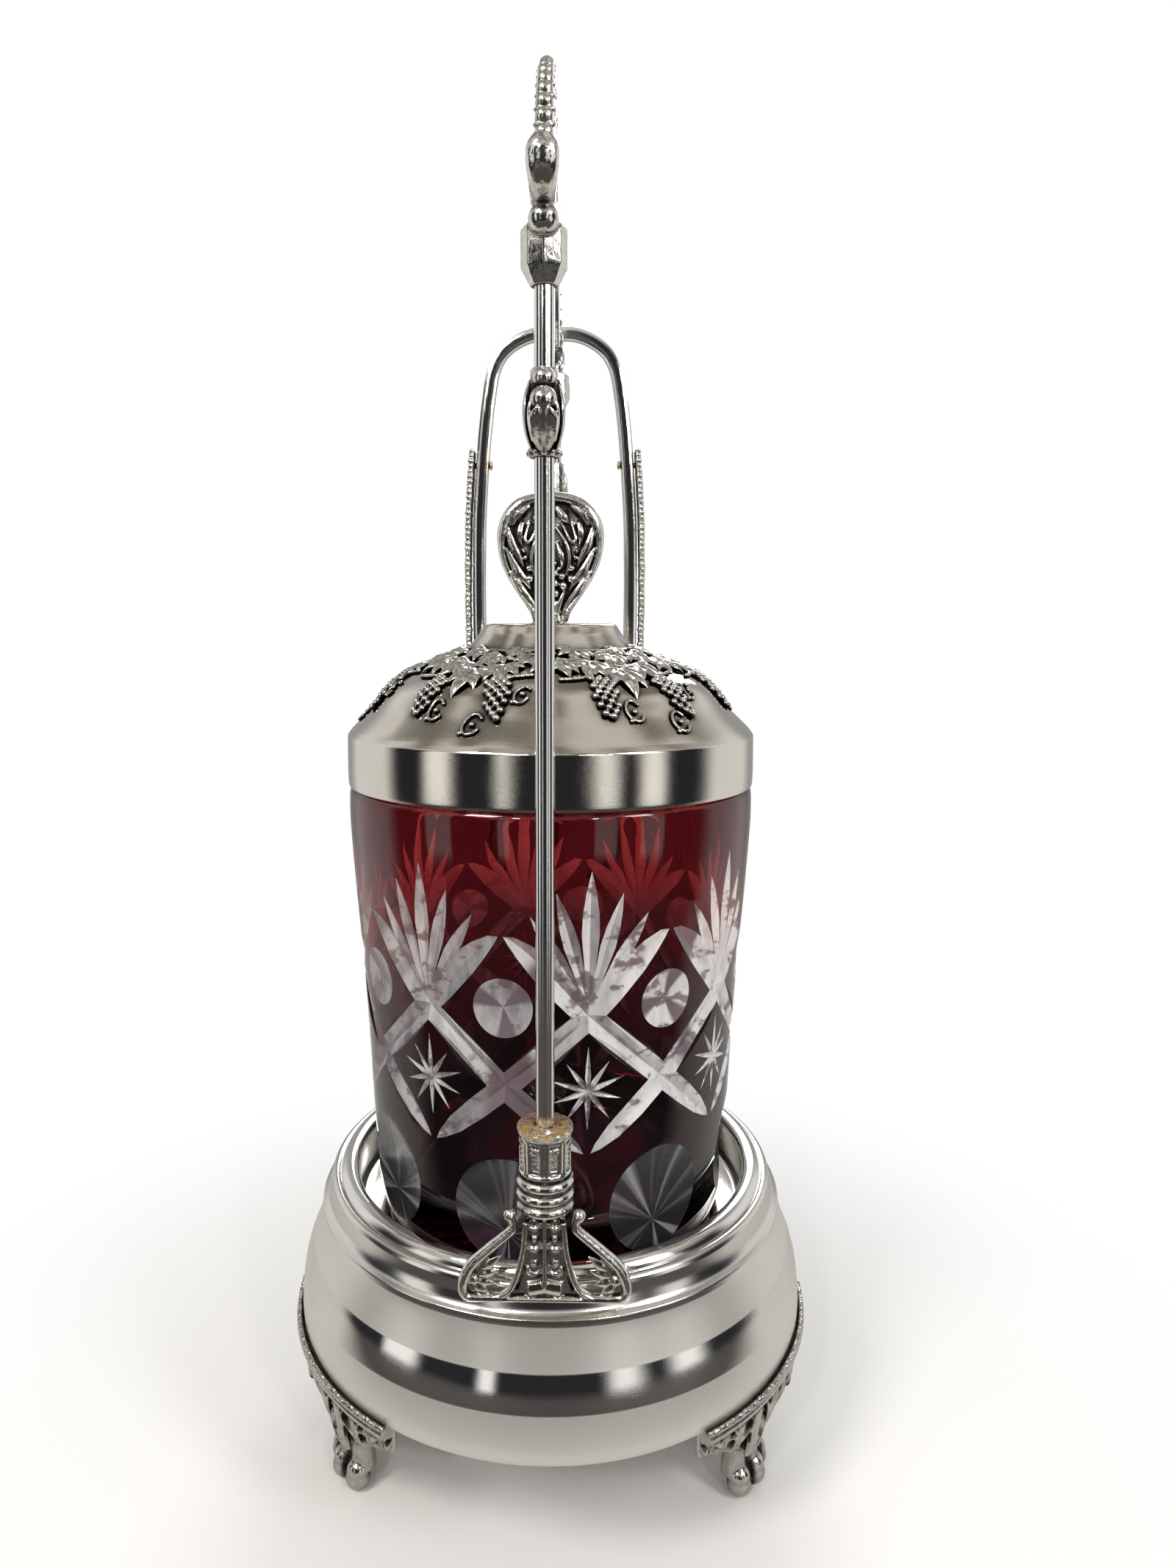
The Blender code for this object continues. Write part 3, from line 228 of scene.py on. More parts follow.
world = bpy.data.worlds.new("studio")
bpy.context.scene.world = world
world.use_nodes = True
sky = world.node_tree
sky.nodes.clear()
direction = add_node(sky, "ShaderNodeTexCoord").outputs["Generated"]
side_x, side_y, height = split_axes(sky, direction)
toward_camera = math_node(sky, "MULTIPLY", side_y, -1)
dark_front = smooth_range(sky, toward_camera, *DARK_EDGE)
dark_height = math_node(
    sky, "MULTIPLY", smooth_range(sky, height, *DARK_HEAD), smooth_range(sky, height, *DARK_FOOT))
dark_zone = math_node(sky, "MULTIPLY", dark_front, dark_height)
azimuth = math_node(sky, "ARCTAN2", side_x, toward_camera)
window_mask = 0.0
for degrees, half_width in WINDOWS:
    offset = math_node(sky, "SUBTRACT", azimuth, math.radians(degrees))
    gap = math_node(sky, "ABSOLUTE", offset)
    pane = smooth_range(sky, gap, math.radians(half_width), math.radians(half_width * PANE_CORE))
    window_mask = math_node(sky, "MAXIMUM", pane, window_mask)
window_height = math_node(
    sky, "MULTIPLY", smooth_range(sky, height, *PANE_FOOT), smooth_range(sky, height, *PANE_HEAD))
window_mask = math_node(sky, "MULTIPLY", window_mask, window_height)
cloud = add_node(sky, "ShaderNodeTexNoise", Scale=2.8, Detail=3)
sky.links.new(direction, cloud.inputs["Vector"])
cloud_share = smooth_range(sky, cloud.outputs["Fac"], *CLOUD_EDGE)
ceiling = mix_colour(sky, cloud_share, CEILING_DARK, CEILING_PALE)
sides = mix_colour(sky, smooth_range(sky, side_y, *BEHIND_EDGE), PALE_SIDE, GREY_BEHIND)
room = mix_colour(sky, smooth_range(sky, height, *CEILING_EDGE), sides, ceiling)
room = mix_colour(sky, dark_zone, room, DARK_SIDE)
room = mix_colour(sky, math_node(sky, "MULTIPLY", window_mask, dark_front), room, WINDOW_LIGHT)
paths = add_node(sky, "ShaderNodeLightPath")
room = mix_colour(sky, paths.outputs["Is Transmission Ray"], room, SEEN_THROUGH_GLASS)
seen = mix_colour(sky, paths.outputs["Is Camera Ray"], room, WHITE)
background = add_node(sky, "ShaderNodeBackground")
sky.links.new(seen, background.inputs["Color"])
output = add_node(sky, "ShaderNodeOutputWorld")
sky.links.new(background.outputs[0], output.inputs[0])
print("world with", len(WINDOWS), "window panes in its dark side")

# %% Material helpers


def new_finish(name, **values):
    """A material with one Principled shader; plain values go on its own sockets."""
    finish = bpy.data.materials.new(name)
    finish.use_nodes = True
    shader = finish.node_tree.nodes["Principled BSDF"]
    for key, value in values.items():
        shader.inputs[key.replace("_", " ")].default_value = value
    return finish, finish.node_tree, shader


def feed(tree, shader, **sources):
    """Links outputs to the shader's sockets, named with _ for a space."""
    for key, source in sources.items():
        tree.links.new(source, shader.inputs[key.replace("_", " ")])


def add_bump(tree, shader, height_socket, distance):
    """Feeds a height into the shader's normal."""
    bump = tree.nodes.new("ShaderNodeBump")
    bump.inputs["Distance"].default_value = distance
    tree.links.new(height_socket, bump.inputs["Height"])
    tree.links.new(bump.outputs["Normal"], shader.inputs["Normal"])


print("material helpers ready")

# %% [markdown]
# The floor is pale near the stand and fades to plain white further out. Silver
# mirrors it, but in reflections the floor is painted shade: grey beside the
# stand, and close to the camera nearly black, as a table edge in shadow would be.

# %% Floor
FLOOR_RADIUS = 420 * MM
FLOOR_FADE = (75 * MM, 200 * MM)
FLOOR_STEPS = 64
FLOOR_TONE = (0.88, 0.88, 0.88)
FLOOR_BESIDE_STAND = (0.55, 0.54, 0.52)
FLOOR_AT_CAMERA = (0.045, 0.04, 0.04)
SHADE_FORWARD = (-10 * MM, -80 * MM)
SHADE_REACH = (95 * MM, 140 * MM)

floor_work = bmesh.new()
bmesh.ops.create_circle(floor_work, cap_ends=True, radius=FLOOR_RADIUS, segments=FLOOR_STEPS)
floor_mesh = bpy.data.meshes.new("floor")
floor_work.to_mesh(floor_mesh)
floor_work.free()
floor = link_new("floor", floor_mesh)
floor_finish, tree, shader = new_finish("pale_floor", Roughness=0.6, Specular_IOR_Level=0.2)
place = add_node(tree, "ShaderNodeTexCoord").outputs["Object"]
reach = add_node(tree, "ShaderNodeVectorMath", operation="LENGTH")
tree.links.new(place, reach.inputs[0])
fade = smooth_range(tree, reach.outputs["Value"], *FLOOR_FADE)
rays = add_node(tree, "ShaderNodeLightPath")
in_front = smooth_range(tree, split_axes(tree, place)[1], *SHADE_FORWARD)
further = smooth_range(tree, reach.outputs["Value"], *SHADE_REACH)
shaded = math_node(tree, "MULTIPLY", in_front, further)
# painted shade: the floor as silver mirrors it, grey beside the stand and nearly black towards the
# camera
in_silver = mix_colour(tree, shaded, FLOOR_BESIDE_STAND, FLOOR_AT_CAMERA)
tone = mix_colour(tree, rays.outputs["Is Glossy Ray"], FLOOR_TONE, in_silver)
feed(tree, shader, Base_Color=tone)
glow = add_node(tree, "ShaderNodeEmission")
blend = add_node(tree, "ShaderNodeMixShader")
white_share = math_node(tree, "MULTIPLY", fade, rays.outputs["Is Camera Ray"])
for source, socket in zip((white_share, shader.outputs[0], glow.outputs[0]), blend.inputs):
    tree.links.new(source, socket)
tree.links.new(blend.outputs[0], tree.nodes["Material Output"].inputs["Surface"])
floor_mesh.materials.append(floor_finish)
print("floor", FLOOR_RADIUS / MM, "mm in radius")

# %% [markdown]
# Three large soft boxes light the stand. Two small ones give the sparks on the
# beads. Each is a name, a place and a size in metres, a power and a colour.

# %% Lamps
AIM = (0, 0, 150 * MM)
LAMPS = (
    ("key_box", (-0.42, -0.46, 0.72), (0.22, 0.22), 3.4, (1.0, 0.97, 0.92)),
    ("fill_box", (0.55, -0.42, 0.55), (0.18, 0.26), 2.0, WHITE),
    ("back_box", (0.10, 0.75, 0.60), (0.5, 0.3), 3.0, WHITE),
    ("spark_left", (-0.20, -0.60, 0.55), (0.05, 0.05), 0.7, (1.0, 0.95, 0.88)),
    ("spark_right", (0.26, -0.55, 0.42), (0.04, 0.04), 0.5, (1.0, 0.90, 0.78)),
)

for name, place, size, power, colour in LAMPS:
    lamp_data = bpy.data.lights.new(name, "AREA")
    lamp_data.shape = "RECTANGLE"
    lamp_data.size, lamp_data.size_y = size
    lamp_data.energy = power
    lamp_data.color = colour
    lamp = link_new(name, lamp_data)
    lamp.location = place
    lamp.rotation_euler = (Vector(AIM) - Vector(place)).to_track_quat("-Z", "Y").to_euler()
print("lamps:", [lamp[0] for lamp in LAMPS])

# %% [markdown]
# ## Finishes
#
# Three effects come back in several finishes, so each is a node group that any
# material can take: dark tarnish and painted shade that collect where surfaces
# meet, the faint scratches of years of polishing, and the small uneven ripples
# of a casting.
# A group only puts out masks, colours, values and normals. The shader itself
# stays in each material.

# %% Group helpers
FLOAT = "NodeSocketFloat"


def new_group(name, inputs, outputs):
    """An empty shader group with float inputs (name: default) and float outputs."""
    group = bpy.data.node_groups.new(name, "ShaderNodeTree")
    for label, default in inputs.items():
        socket = group.interface.new_socket(label, in_out="INPUT", socket_type=FLOAT)
        socket.default_value = default
    for label in outputs:
        group.interface.new_socket(label, in_out="OUTPUT", socket_type=FLOAT)
    entry = group.nodes.new("NodeGroupInput")
    leave = group.nodes.new("NodeGroupOutput")
    return group, entry.outputs, leave.inputs


def use_group(tree, group, **values):
    """Places a group in a material, with its own values."""
    node = tree.nodes.new("ShaderNodeGroup")
    node.node_tree = group
    for key, value in values.items():
        node.inputs[key].default_value = value
    return node.outputs


def object_place(tree, scale=(1, 1, 1)):
    """Object coordinates, stretched by a scale on each axis."""
    place = tree.nodes.new("ShaderNodeTexCoord").outputs["Object"]
    stretch = tree.nodes.new("ShaderNodeMapping")
    stretch.inputs["Scale"].default_value = scale
    tree.links.new(place, stretch.inputs["Vector"])
    return stretch.outputs["Vector"]


def add_noise(tree, stretch=(1, 1, 1), **settings):
    """A Noise texture that lies fast on the piece."""
    noise = add_node(tree, "ShaderNodeTexNoise", **settings)
    tree.links.new(object_place(tree, stretch), noise.inputs["Vector"])
    return noise


print("group helpers ready")

# %% Tarnish and painted shade in the recesses
HIDDEN_EDGE = (0.06, 0.46)


def tarnish_group(name, own_only):
    """A mask of hidden places, for tarnish and painted shade; own_only leaves out what other pieces
    hide.
    """
    group, enter, leave = new_group(name, {"Reach": 1.2 * MM, "Depth": 0.8}, ["Mask"])
    corner = add_node(group, "ShaderNodeAmbientOcclusion", samples=8, only_local=own_only)
    group.links.new(enter["Reach"], corner.inputs["Distance"])
    # tarnish and painted shade: the less of its surroundings a point can see, the darker it is
    hidden = math_node(group, "SUBTRACT", 1, corner.outputs["AO"])
    patches = add_noise(group, Scale=420, Detail=3).outputs["Fac"]
    patchy = math_node(group, "MULTIPLY_ADD", patches, 1.1, 0.45)
    mask = math_node(group, "MULTIPLY", math_node(group, "MULTIPLY", hidden, patchy), enter["Depth"])
    group.links.new(smooth_range(group, mask, *HIDDEN_EDGE), leave["Mask"])
    return group


tarnish = tarnish_group("tarnish_and_shade_in_recesses", False)
own_tarnish = tarnish_group("tarnish_and_shade_in_own_recesses", True)
print("tarnish groups:", tarnish.name, own_tarnish.name)

# %% Polishing scratches
scratches, enter, leave = new_group("polishing_scratches", {"Fineness": 900}, ["Value"])
swirl = add_noise(scratches, (1, 1, 9), Detail=5, Roughness=0.65)
scratches.links.new(enter["Fineness"], swirl.inputs["Scale"])
broad = add_noise(scratches, Scale=45, Detail=2)
both = math_node(scratches, "MULTIPLY", swirl.outputs["Fac"], broad.outputs["Fac"])
scratches.links.new(both, leave["Value"])
print("group:", scratches.name)

# %% Ripples of a casting
ripples, enter, leave = new_group("casting_ripples", {"Size": 700, "Lift": 0.5}, ["Height", "Value"])
lumps = add_noise(ripples, Detail=3, Roughness=0.5)
ripples.links.new(enter["Size"], lumps.inputs["Scale"])
ripples.links.new(math_node(ripples, "MULTIPLY", lumps.outputs["Fac"], enter["Lift"]), leave["Height"])
ripples.links.new(lumps.outputs["Fac"], leave["Value"])
print("group:", ripples.name)

# %% [markdown]
# Cast silver is bright on its high spots and nearly black in its hollows, partly
# from tarnish where a cloth never reaches and partly as painted shade. The
# tarnish group finds the hollows by how much of the surroundings each point can
# see, so it also paints shade where another piece comes close. The feet only
# count what they hide themselves, as the painted shade of the wide base above
# would darken them all over.

# %% Cast silver
DARK_TARNISH = (0.020, 0.017, 0.015)
CAST_GLOSS, CAST_WEAR, TARNISH_DULL = 0.06, 0.16, 0.45


def casting_finish(name, group, reach, depth, polished, dull):
    """Silver that is polished on its high spots and black in its hollows, from tarnish and painted
    shade.
    """
    finish, tree, shader = new_finish(name, Metallic=1.0)
    dark = use_group(tree, group, Reach=reach, Depth=depth)["Mask"]
    worn = use_group(tree, ripples, Size=900, Lift=1.0)
    tint = mix_colour(tree, worn["Value"], polished, dull)
    rough = math_node(tree, "MULTIPLY_ADD", worn["Value"], CAST_WEAR, CAST_GLOSS)
    # tarnish and painted shade: the hollows go nearly black
    feed(tree, shader, Base_Color=mix_colour(tree, dark, tint, DARK_TARNISH),
         Roughness=math_node(tree, "MULTIPLY_ADD", dark, TARNISH_DULL, rough))
    add_bump(tree, shader, worn["Height"], 0.10 * MM)
    return finish


cast_silver = casting_finish(
    "cast_silver", tarnish, 2.2 * MM, 1.5, (0.88, 0.86, 0.81), (0.64, 0.61, 0.55))
# the feet are tinted darker than the other castings: partly heavier tarnish, partly painted shade for
# their darker reflections under the base
foot_silver = casting_finish(
    "foot_silver", own_tarnish, 2.4 * MM, 3.0, (0.80, 0.78, 0.74), (0.44, 0.42, 0.39))
print("finishes:", cast_silver.name, foot_silver.name)

# %% Bright silver, for rods and strips
bright_silver, tree, shader = new_finish("bright_silver", Metallic=1.0)
worn = use_group(tree, scratches, Fineness=1600)["Value"]
feed(tree, shader, Base_Color=mix_colour(tree, worn, (0.93, 0.91, 0.88), (0.80, 0.78, 0.74)),
     Roughness=math_node(tree, "MULTIPLY_ADD", worn, 0.14, 0.035))
add_bump(tree, shader, worn, 0.02 * MM)
print("finish:", bright_silver.name)

# %% [markdown]
# ## Building blocks
#
# Turned work comes from a profile spun round the axis. A profile is a list of
# (radius, height) points; a smooth curve is drawn through them, and a point that
# is written twice stays a sharp corner.

# %% Smooth curves


def curve_through(points, per=6):
    """A smooth line through points; a point written twice stays a corner."""
    line = []
    last = len(points) - 1
    for index in range(last):
        start, end = np.array(points[index]), np.array(points[index + 1])
        if (start == end).all():
            continue
        pull_in = (end - np.array(points[max(index - 1, 0)])) / 2
        pull_out = (np.array(points[min(index + 2, last)]) - start) / 2
        reach = np.linalg.norm(end - start)
        for pull in (pull_in, pull_out):
            size = np.linalg.norm(pull)
            if size > reach:
                pull *= reach / size
        for step in range(per):
            t = step / per
            h = (2 * t**3 - 3 * t**2 + 1, t**3 - 2 * t**2 + t, 3 * t**2 - 2 * t**3, t**3 - t**2)
            line.append(tuple(h[0] * start + h[1] * pull_in + h[2] * end + h[3] * pull_out))
    return line + [tuple(points[-1])]


trial = curve_through([(0, 0), (1, 0), (1, 1)])
print("three knots make a line of", len(trial), "points")

# %% Mesh helpers
SMOOTH_ANGLE = math.radians(38)
WELD = 0.004 * MM
ON_AXIS = 1e-7


def finish_mesh(name, work, material, angle=SMOOTH_ANGLE):
    """Turns a bmesh into a linked, smooth-shaded object with its finish."""
    bmesh.ops.remove_doubles(work, verts=work.verts[:], dist=WELD)
    bmesh.ops.recalc_face_normals(work, faces=work.faces[:])
    mesh = bpy.data.meshes.new(name)
    work.to_mesh(mesh)
    work.free()
    mesh.shade_smooth()
    mesh.set_sharp_from_angle(angle=angle)
    mesh.materials.append(material)
    return link_new(name, mesh)


def spin(work, profile, steps=144, slot=0, closed=True):
    """Spins a (radius, height) outline round Z into a bmesh."""
    rings = []
    for radius, z in profile:
        if radius < ON_AXIS:
            rings.append([work.verts.new((0, 0, z))])
            continue
        angles = [math.tau * step / steps for step in range(steps)]
        rings.append([work.verts.new((radius * math.sin(a), -radius * math.cos(a), z)) for a in angles])
    pairs = list(zip(rings, rings[1:]))
    if closed:
        pairs.append((rings[-1], rings[0]))
    for lower, upper in pairs:
        if len(lower) == 1 and len(upper) == 1:
            continue
        for step in range(steps):
            after = (step + 1) % steps
            corners = []
            for ring, index in ((lower, step), (lower, after), (upper, after), (upper, step)):
                corner = ring[index % len(ring)]
                if corner not in corners:
                    corners.append(corner)
            work.faces.new(corners).material_index = slot


def turned_piece(name, profile, material, steps=144, at=(0, 0), angle=SMOOTH_ANGLE):
    """A turned object, centred on a place in plan."""
    work = bmesh.new()
    spin(work, profile, steps)
    bmesh.ops.translate(work, verts=work.verts[:], vec=(*at, 0))
    return finish_mesh(name, work, material, angle)


print("mesh helpers ready")

# %% [markdown]
# ## Base and tray
#
# The base is a bulged pressing. Its finish changes in crisp steps: satin on the
# shoulder, a mirror-bright band round its widest part, satin again below, and a
# second bright band at its top edge. The bands are part of the finish, so the
# material reads the height. Satin scatters light as well as mirroring it, so it
# is a little less metallic.

# %% Satin and banded silver
BRIGHT_BANDS = ((43.4 * MM, 50.6 * MM), (58.7 * MM, 62.0 * MM))
BAND_SOFTNESS = 0.18 * MM


def band_mask(tree, bands):
    """1 between each pair of heights, 0 elsewhere."""
    height = split_axes(tree, object_place(tree))[2]
    bright = 0.0
    for bottom, top in bands:
        rise = smooth_range(tree, height, bottom - BAND_SOFTNESS, bottom + BAND_SOFTNESS)
        fall = smooth_range(tree, height, top + BAND_SOFTNESS, top - BAND_SOFTNESS)
        bright = math_node(tree, "MAXIMUM", math_node(tree, "MULTIPLY", rise, fall), bright)
    return bright


def banded_silver(name, bands, satin_roughness, satin_metallic):
    """Satin silver with mirror-bright bands between pairs of heights."""
    finish, tree, shader = new_finish(name, Metallic=1.0)
    bright = band_mask(tree, bands)
    worn = use_group(tree, scratches, Fineness=1300)["Value"]
    # tarnish and painted shade in the piece's own creases
    dark = use_group(tree, own_tarnish, Reach=1.0 * MM, Depth=0.4)["Mask"]
    satin = mix_colour(tree, worn, (0.80, 0.78, 0.74), (0.66, 0.64, 0.60))
    colour = mix_colour(tree, bright, satin, (0.86, 0.84, 0.80))
    feed(tree, shader, Base_Color=mix_colour(tree, dark, colour, (0.16, 0.13, 0.10)))
    rough = math_node(tree, "MULTIPLY_ADD", worn, 0.22, satin_roughness - 0.05)
    gloss = math_node(tree, "MULTIPLY_ADD", worn, 0.06, 0.025)
    for socket, satin_value, bright_value in (
            ("Roughness", rough, gloss), ("Metallic", satin_metallic, 1.0)):
        change = math_node(tree, "SUBTRACT", bright_value, satin_value)
        change = math_node(tree, "MULTIPLY", bright, change)
        feed(tree, shader, **{socket: math_node(tree, "ADD", change, satin_value)})
    add_bump(tree, shader, worn, 0.015 * MM)
    return finish


base_silver = banded_silver("base_silver", BRIGHT_BANDS, 0.33, 0.7)
print("finish:", base_silver.name, "with", len(BRIGHT_BANDS), "bright bands")

# %% Base shell
SHEET = 1.0 * MM
HEM_WIDTH = 3.5 * MM
LEDGE_INNER = 48.0 * MM
TURNING_STEPS = 192
CURVE_STEPS = 5
BASE_SHARES = (
    (0.905, 1.000), (0.905, 1.000), (0.908, 0.955), (0.914, 0.900), (0.928, 0.803),
    (0.946, 0.693), (0.968, 0.568), (0.986, 0.413), (0.996, 0.246), (1.000, 0.114),
    (0.998, 0.040), (0.9926, 0.000), (0.9926, 0.000),
)

base_height = base_top - base_bottom
base_outer = [(base_radius * r, base_bottom + base_height * h) for r, h in BASE_SHARES]
base_curve = curve_through(base_outer, CURVE_STEPS)
base_inner = [(r - SHEET, min(max(z, base_bottom + SHEET), base_top - SHEET)) for r, z in base_curve]
hem_radius = base_curve[-1][0]
base_profile = base_curve + [(hem_radius - HEM_WIDTH, base_bottom)]
base_profile += [(hem_radius - HEM_WIDTH, base_bottom + SHEET)]
base_profile += base_inner[::-1][::4]
base_profile += [(base_inner[0][0], base_top - SHEET), (LEDGE_INNER, base_top - SHEET)]
base_profile += [(LEDGE_INNER, base_top)]
base = turned_piece("base_pressing", base_profile, base_silver, TURNING_STEPS)
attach(base, "frame")
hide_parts("base_shell")
print("base:", len(base.data.polygons), "faces")

# %% Tray
TRAY_INNER = 46.5 * MM
RIM_WIDTH = 8.7 * MM
RIM_GAP = 0.3 * MM
WELL_DEPTH = 10.8 * MM
WELL_CORNER = 1.6 * MM
CORNER_STEPS = 6
RIM_BAND = (tray_top - 1.3 * MM, tray_top + 1 * MM)
TRAY_RIM_SHARES = (
    (0.004, 0.700), (0.011, 0.837), (0.050, 0.925), (0.091, 0.965), (0.170, 0.993), (0.250, 1.000),
    (0.330, 0.990), (0.398, 0.953), (0.450, 0.895), (0.489, 0.837), (0.523, 0.755), (0.523, 0.755),
    (0.560, 0.780), (0.602, 0.791), (0.650, 0.780), (0.682, 0.756), (0.715, 0.712), (0.739, 0.650),
    (0.739, 0.650), (0.745, 0.540), (0.762, 0.400), (0.807, 0.256), (0.850, 0.180), (0.898, 0.128),
    (0.950, 0.090), (0.989, 0.058), (1.000, 0.000), (1.000, 0.000),
)
TRAY_UNDER_SHARES = (
    (0.890, 0.000), (0.700, 0.190), (0.620, 0.560), (0.500, 0.600), (0.380, 0.800),
    (0.250, 0.860), (0.125, 0.720),
)

rim_foot = base_top + RIM_GAP
rim_height = tray_top - rim_foot
tray_floor = tray_top - WELL_DEPTH
well_outer = TRAY_INNER + SHEET


def on_rim(shares):
    """Rim points, from shares of its width and height."""
    return [(TRAY_INNER + RIM_WIDTH * r, rim_foot + rim_height * h) for r, h in shares]


corner_curve = [
    (TRAY_INNER - WELL_CORNER * (1 - math.sin(a)), tray_floor + WELL_CORNER * (1 - math.cos(a)))
    for a in np.linspace(0, math.pi / 2, CORNER_STEPS)]
tray_profile = [(TRAY_INNER * share, tray_floor) for share in (0, 0.3, 0.7)]
tray_profile += corner_curve + curve_through(on_rim(TRAY_RIM_SHARES), CURVE_STEPS)
tray_profile += on_rim(TRAY_UNDER_SHARES)
tray_profile += [(well_outer, tray_floor + WELL_CORNER), (well_outer - WELL_CORNER, tray_floor - SHEET)]
tray_profile += [(0, tray_floor - SHEET)]
tray_silver = banded_silver("tray_silver", [RIM_BAND], 0.15, 1.0)
tray = turned_piece("tray_pressing", tray_profile, tray_silver, TURNING_STEPS)
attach(tray, "frame")
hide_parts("tray")
print("tray:", len(tray.data.polygons), "faces")

# %% Posts
THREAD_RADIUS = 1.45 * MM
SHOULDER = 0.35 * MM
THREAD_LENGTH = 2.6 * MM
POST_STEPS = 40

post_shoulder = tray_top + THREAD_LENGTH
post_bottom = low("post_rod_front").z
post_outline = [
    (0, rod_top), (rod_radius - SHOULDER, rod_top), (rod_radius, rod_top - SHOULDER),
    (rod_radius, post_shoulder), (THREAD_RADIUS, post_shoulder), (THREAD_RADIUS, post_bottom),
    (0, post_bottom)]
for place, side in (("front", -1), ("back", 1)):
    at = (0, side * post_radius)
    post = turned_piece("post_" + place, post_outline, bright_silver, POST_STEPS, at)
    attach(post, "frame")
    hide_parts("post_rod_" + place)
print("posts at", round(post_radius / MM, 1), "mm")

# %% [markdown]
# ## Jar
#
# The jar is clear glass with a thin ruby skin. A cutter's wheel goes through the
# skin and leaves clear glass: a V-shaped wheel makes the crossing bars, the fans
# and the stars, and a round one the thumbprints. The pattern repeats eight times.
#
# Each cut is drawn flat, as lines with a width at each point. Its depth follows
# from the wheel: a V grows deeper as it grows wider. All outlines and middle
# lines of one cell go into one triangulation, so that every cut has a true edge
# and a true keel, and the cell is then laid round the jar eight times.
#
# Light from behind makes the cuts of the far wall shine through the ruby, so
# the cut glass is given a painted glow where it is seen from its inner side. The
# low prints act as lenses over the star cut under the jar, and its rays are
# painted into them.

# %% Jar outline
JAR_SHARES = (
    (0.9827, 1.000), (0.9957, 0.990), (1.0000, 0.970), (1.0000, 0.919), (0.9827, 0.778),
    (0.9567, 0.610), (0.9370, 0.440), (0.9220, 0.265), (0.9048, 0.100), (0.8874, 0.036),
    (0.8570, 0.004), (0.8400, 0.000),
)
NECK_HEIGHT = 8.8 * MM
NECK_INSET = 1.8 * MM
NECK_WALL = 4.0 * MM
NECK_EASE = 0.6 * MM
JAR_WALL = 4.2 * MM
JAR_FLOOR = 9.0 * MM
KICK_RADIUS = 33.0 * MM
KICK_HEIGHT = 0.8 * MM

jar_shoulder = jar_mouth - NECK_HEIGHT
jar_height = jar_shoulder - jar_bottom
neck_radius = jar_radius - NECK_INSET
jar_line = curve_through([(jar_radius * r, jar_bottom + jar_height * h) for r, h in JAR_SHARES], 8)
jar_line_z = np.array([z for r, z in jar_line][::-1])
jar_line_r = np.array([r for r, z in jar_line][::-1])


def jar_surface(z):
    """The jar's outer radius at a height."""
    return np.interp(z, jar_line_z, jar_line_r)


print("jar shoulder at", round(jar_shoulder / MM, 1), "mm")

# %% [markdown]
# Places in the flat pattern are degrees off a fan's middle and millimetres up.
# BAR_LINE and FAN_TIPS add a width; the leaf and star widths go with a share of
# the length. A print is its place, its half size across and up, and its depth.

# %% The cutter's pattern, flat
CELLS = 8
FLAT_DEGREE = 0.765 * MM
FAN_TURN = math.radians(11.2)
WHEEL_SLOPE = 0.46
STAR_SLOPE = 0.70
BAR_LINE = (
    (21.8, 134.6, 0), (20.0, 133.9, 1.0), (16.5, 131.6, 2.0), (12.0, 128.2, 2.75), (6.0, 123.0, 2.75),
    (0, 117.8, 2.45), (-22.5, 102.5, 2.45), (-31.0, 96.9, 2.35), (-37.5, 92.6, 1.9), (-42.0, 89.6, 0.9),
    (-44.0, 88.2, 0),
)
FAN_BASE = 119.4
FAN_TIPS = (
    (0, 148.0, 1.75), (8.2, 143.3, 1.55), (15.2, 138.8, 1.45), (-8.6, 143.8, 1.55),
    (-15.0, 139.0, 1.45),
)
LEAF_WIDTHS = ((0, 0.22), (0.30, 0.62), (0.55, 1.0), (0.70, 0.90), (0.86, 0.52), (1, 0))
STAR_CENTRE = 102.0
STAR_REACHES = (9.6, 7.6, 8.2, 7.6, 8.0, 8.6, 8.0, 7.6, 8.2, 7.6)
STAR_WIDTHS = ((0, 0.20), (0.30, 0.62), (0.60, 0.42), (1, 0))
THUMBPRINT = (22.5, 119.6, 6.1, 6.3, 0.9)
FOOT_PRINT = (22.5, 74.6, 12.0, 12.1, 1.5)
PRINTS = (THUMBPRINT, FOOT_PRINT)

cell_width = FLAT_DEGREE * 360 / CELLS
fold = cell_width / 2


def flat(degrees, height):
    """A place in the flat pattern, from degrees off the fan and millimetres up."""
    return np.array([degrees * FLAT_DEGREE, height * MM])


grooves = []
for mirror in (1, -1):
    points = [flat(mirror * a, z) for a, z, w in BAR_LINE]
    grooves.append((points, [w * MM for a, z, w in BAR_LINE], WHEEL_SLOPE))
for degrees, height, width in FAN_TIPS:
    root, tip = flat(0, FAN_BASE), flat(degrees, height)
    points = [root + (tip - root) * share for share, w in LEAF_WIDTHS]
    grooves.append((points, [w * width * MM for share, w in LEAF_WIDTHS], WHEEL_SLOPE))
for index, reach in enumerate(STAR_REACHES):
    angle = math.tau * index / len(STAR_REACHES)
    way = np.array([math.sin(angle), math.cos(angle)]) * reach * MM
    points = [flat(0, STAR_CENTRE) + way * share for share, w in STAR_WIDTHS]
    grooves.append((points, [w * MM for share, w in STAR_WIDTHS], STAR_SLOPE))
print(len(grooves), "grooves and", len(PRINTS), "prints in each of", CELLS, "cells")

# %% Depth of the pattern


def groove_depth(points, widths, slope, at):
    """How deep a V groove is at each place of an array."""
    depth = np.zeros(len(at))
    for (start, end), (wide, narrow) in zip(zip(points, points[1:]), zip(widths, widths[1:])):
        along = end - start
        share = np.clip((at - start) @ along / (along @ along), 0, 1)
        aside = np.linalg.norm(at - start - share[:, None] * along, axis=1)
        depth = np.maximum(depth, slope * (wide + (narrow - wide) * share - aside))
    return depth


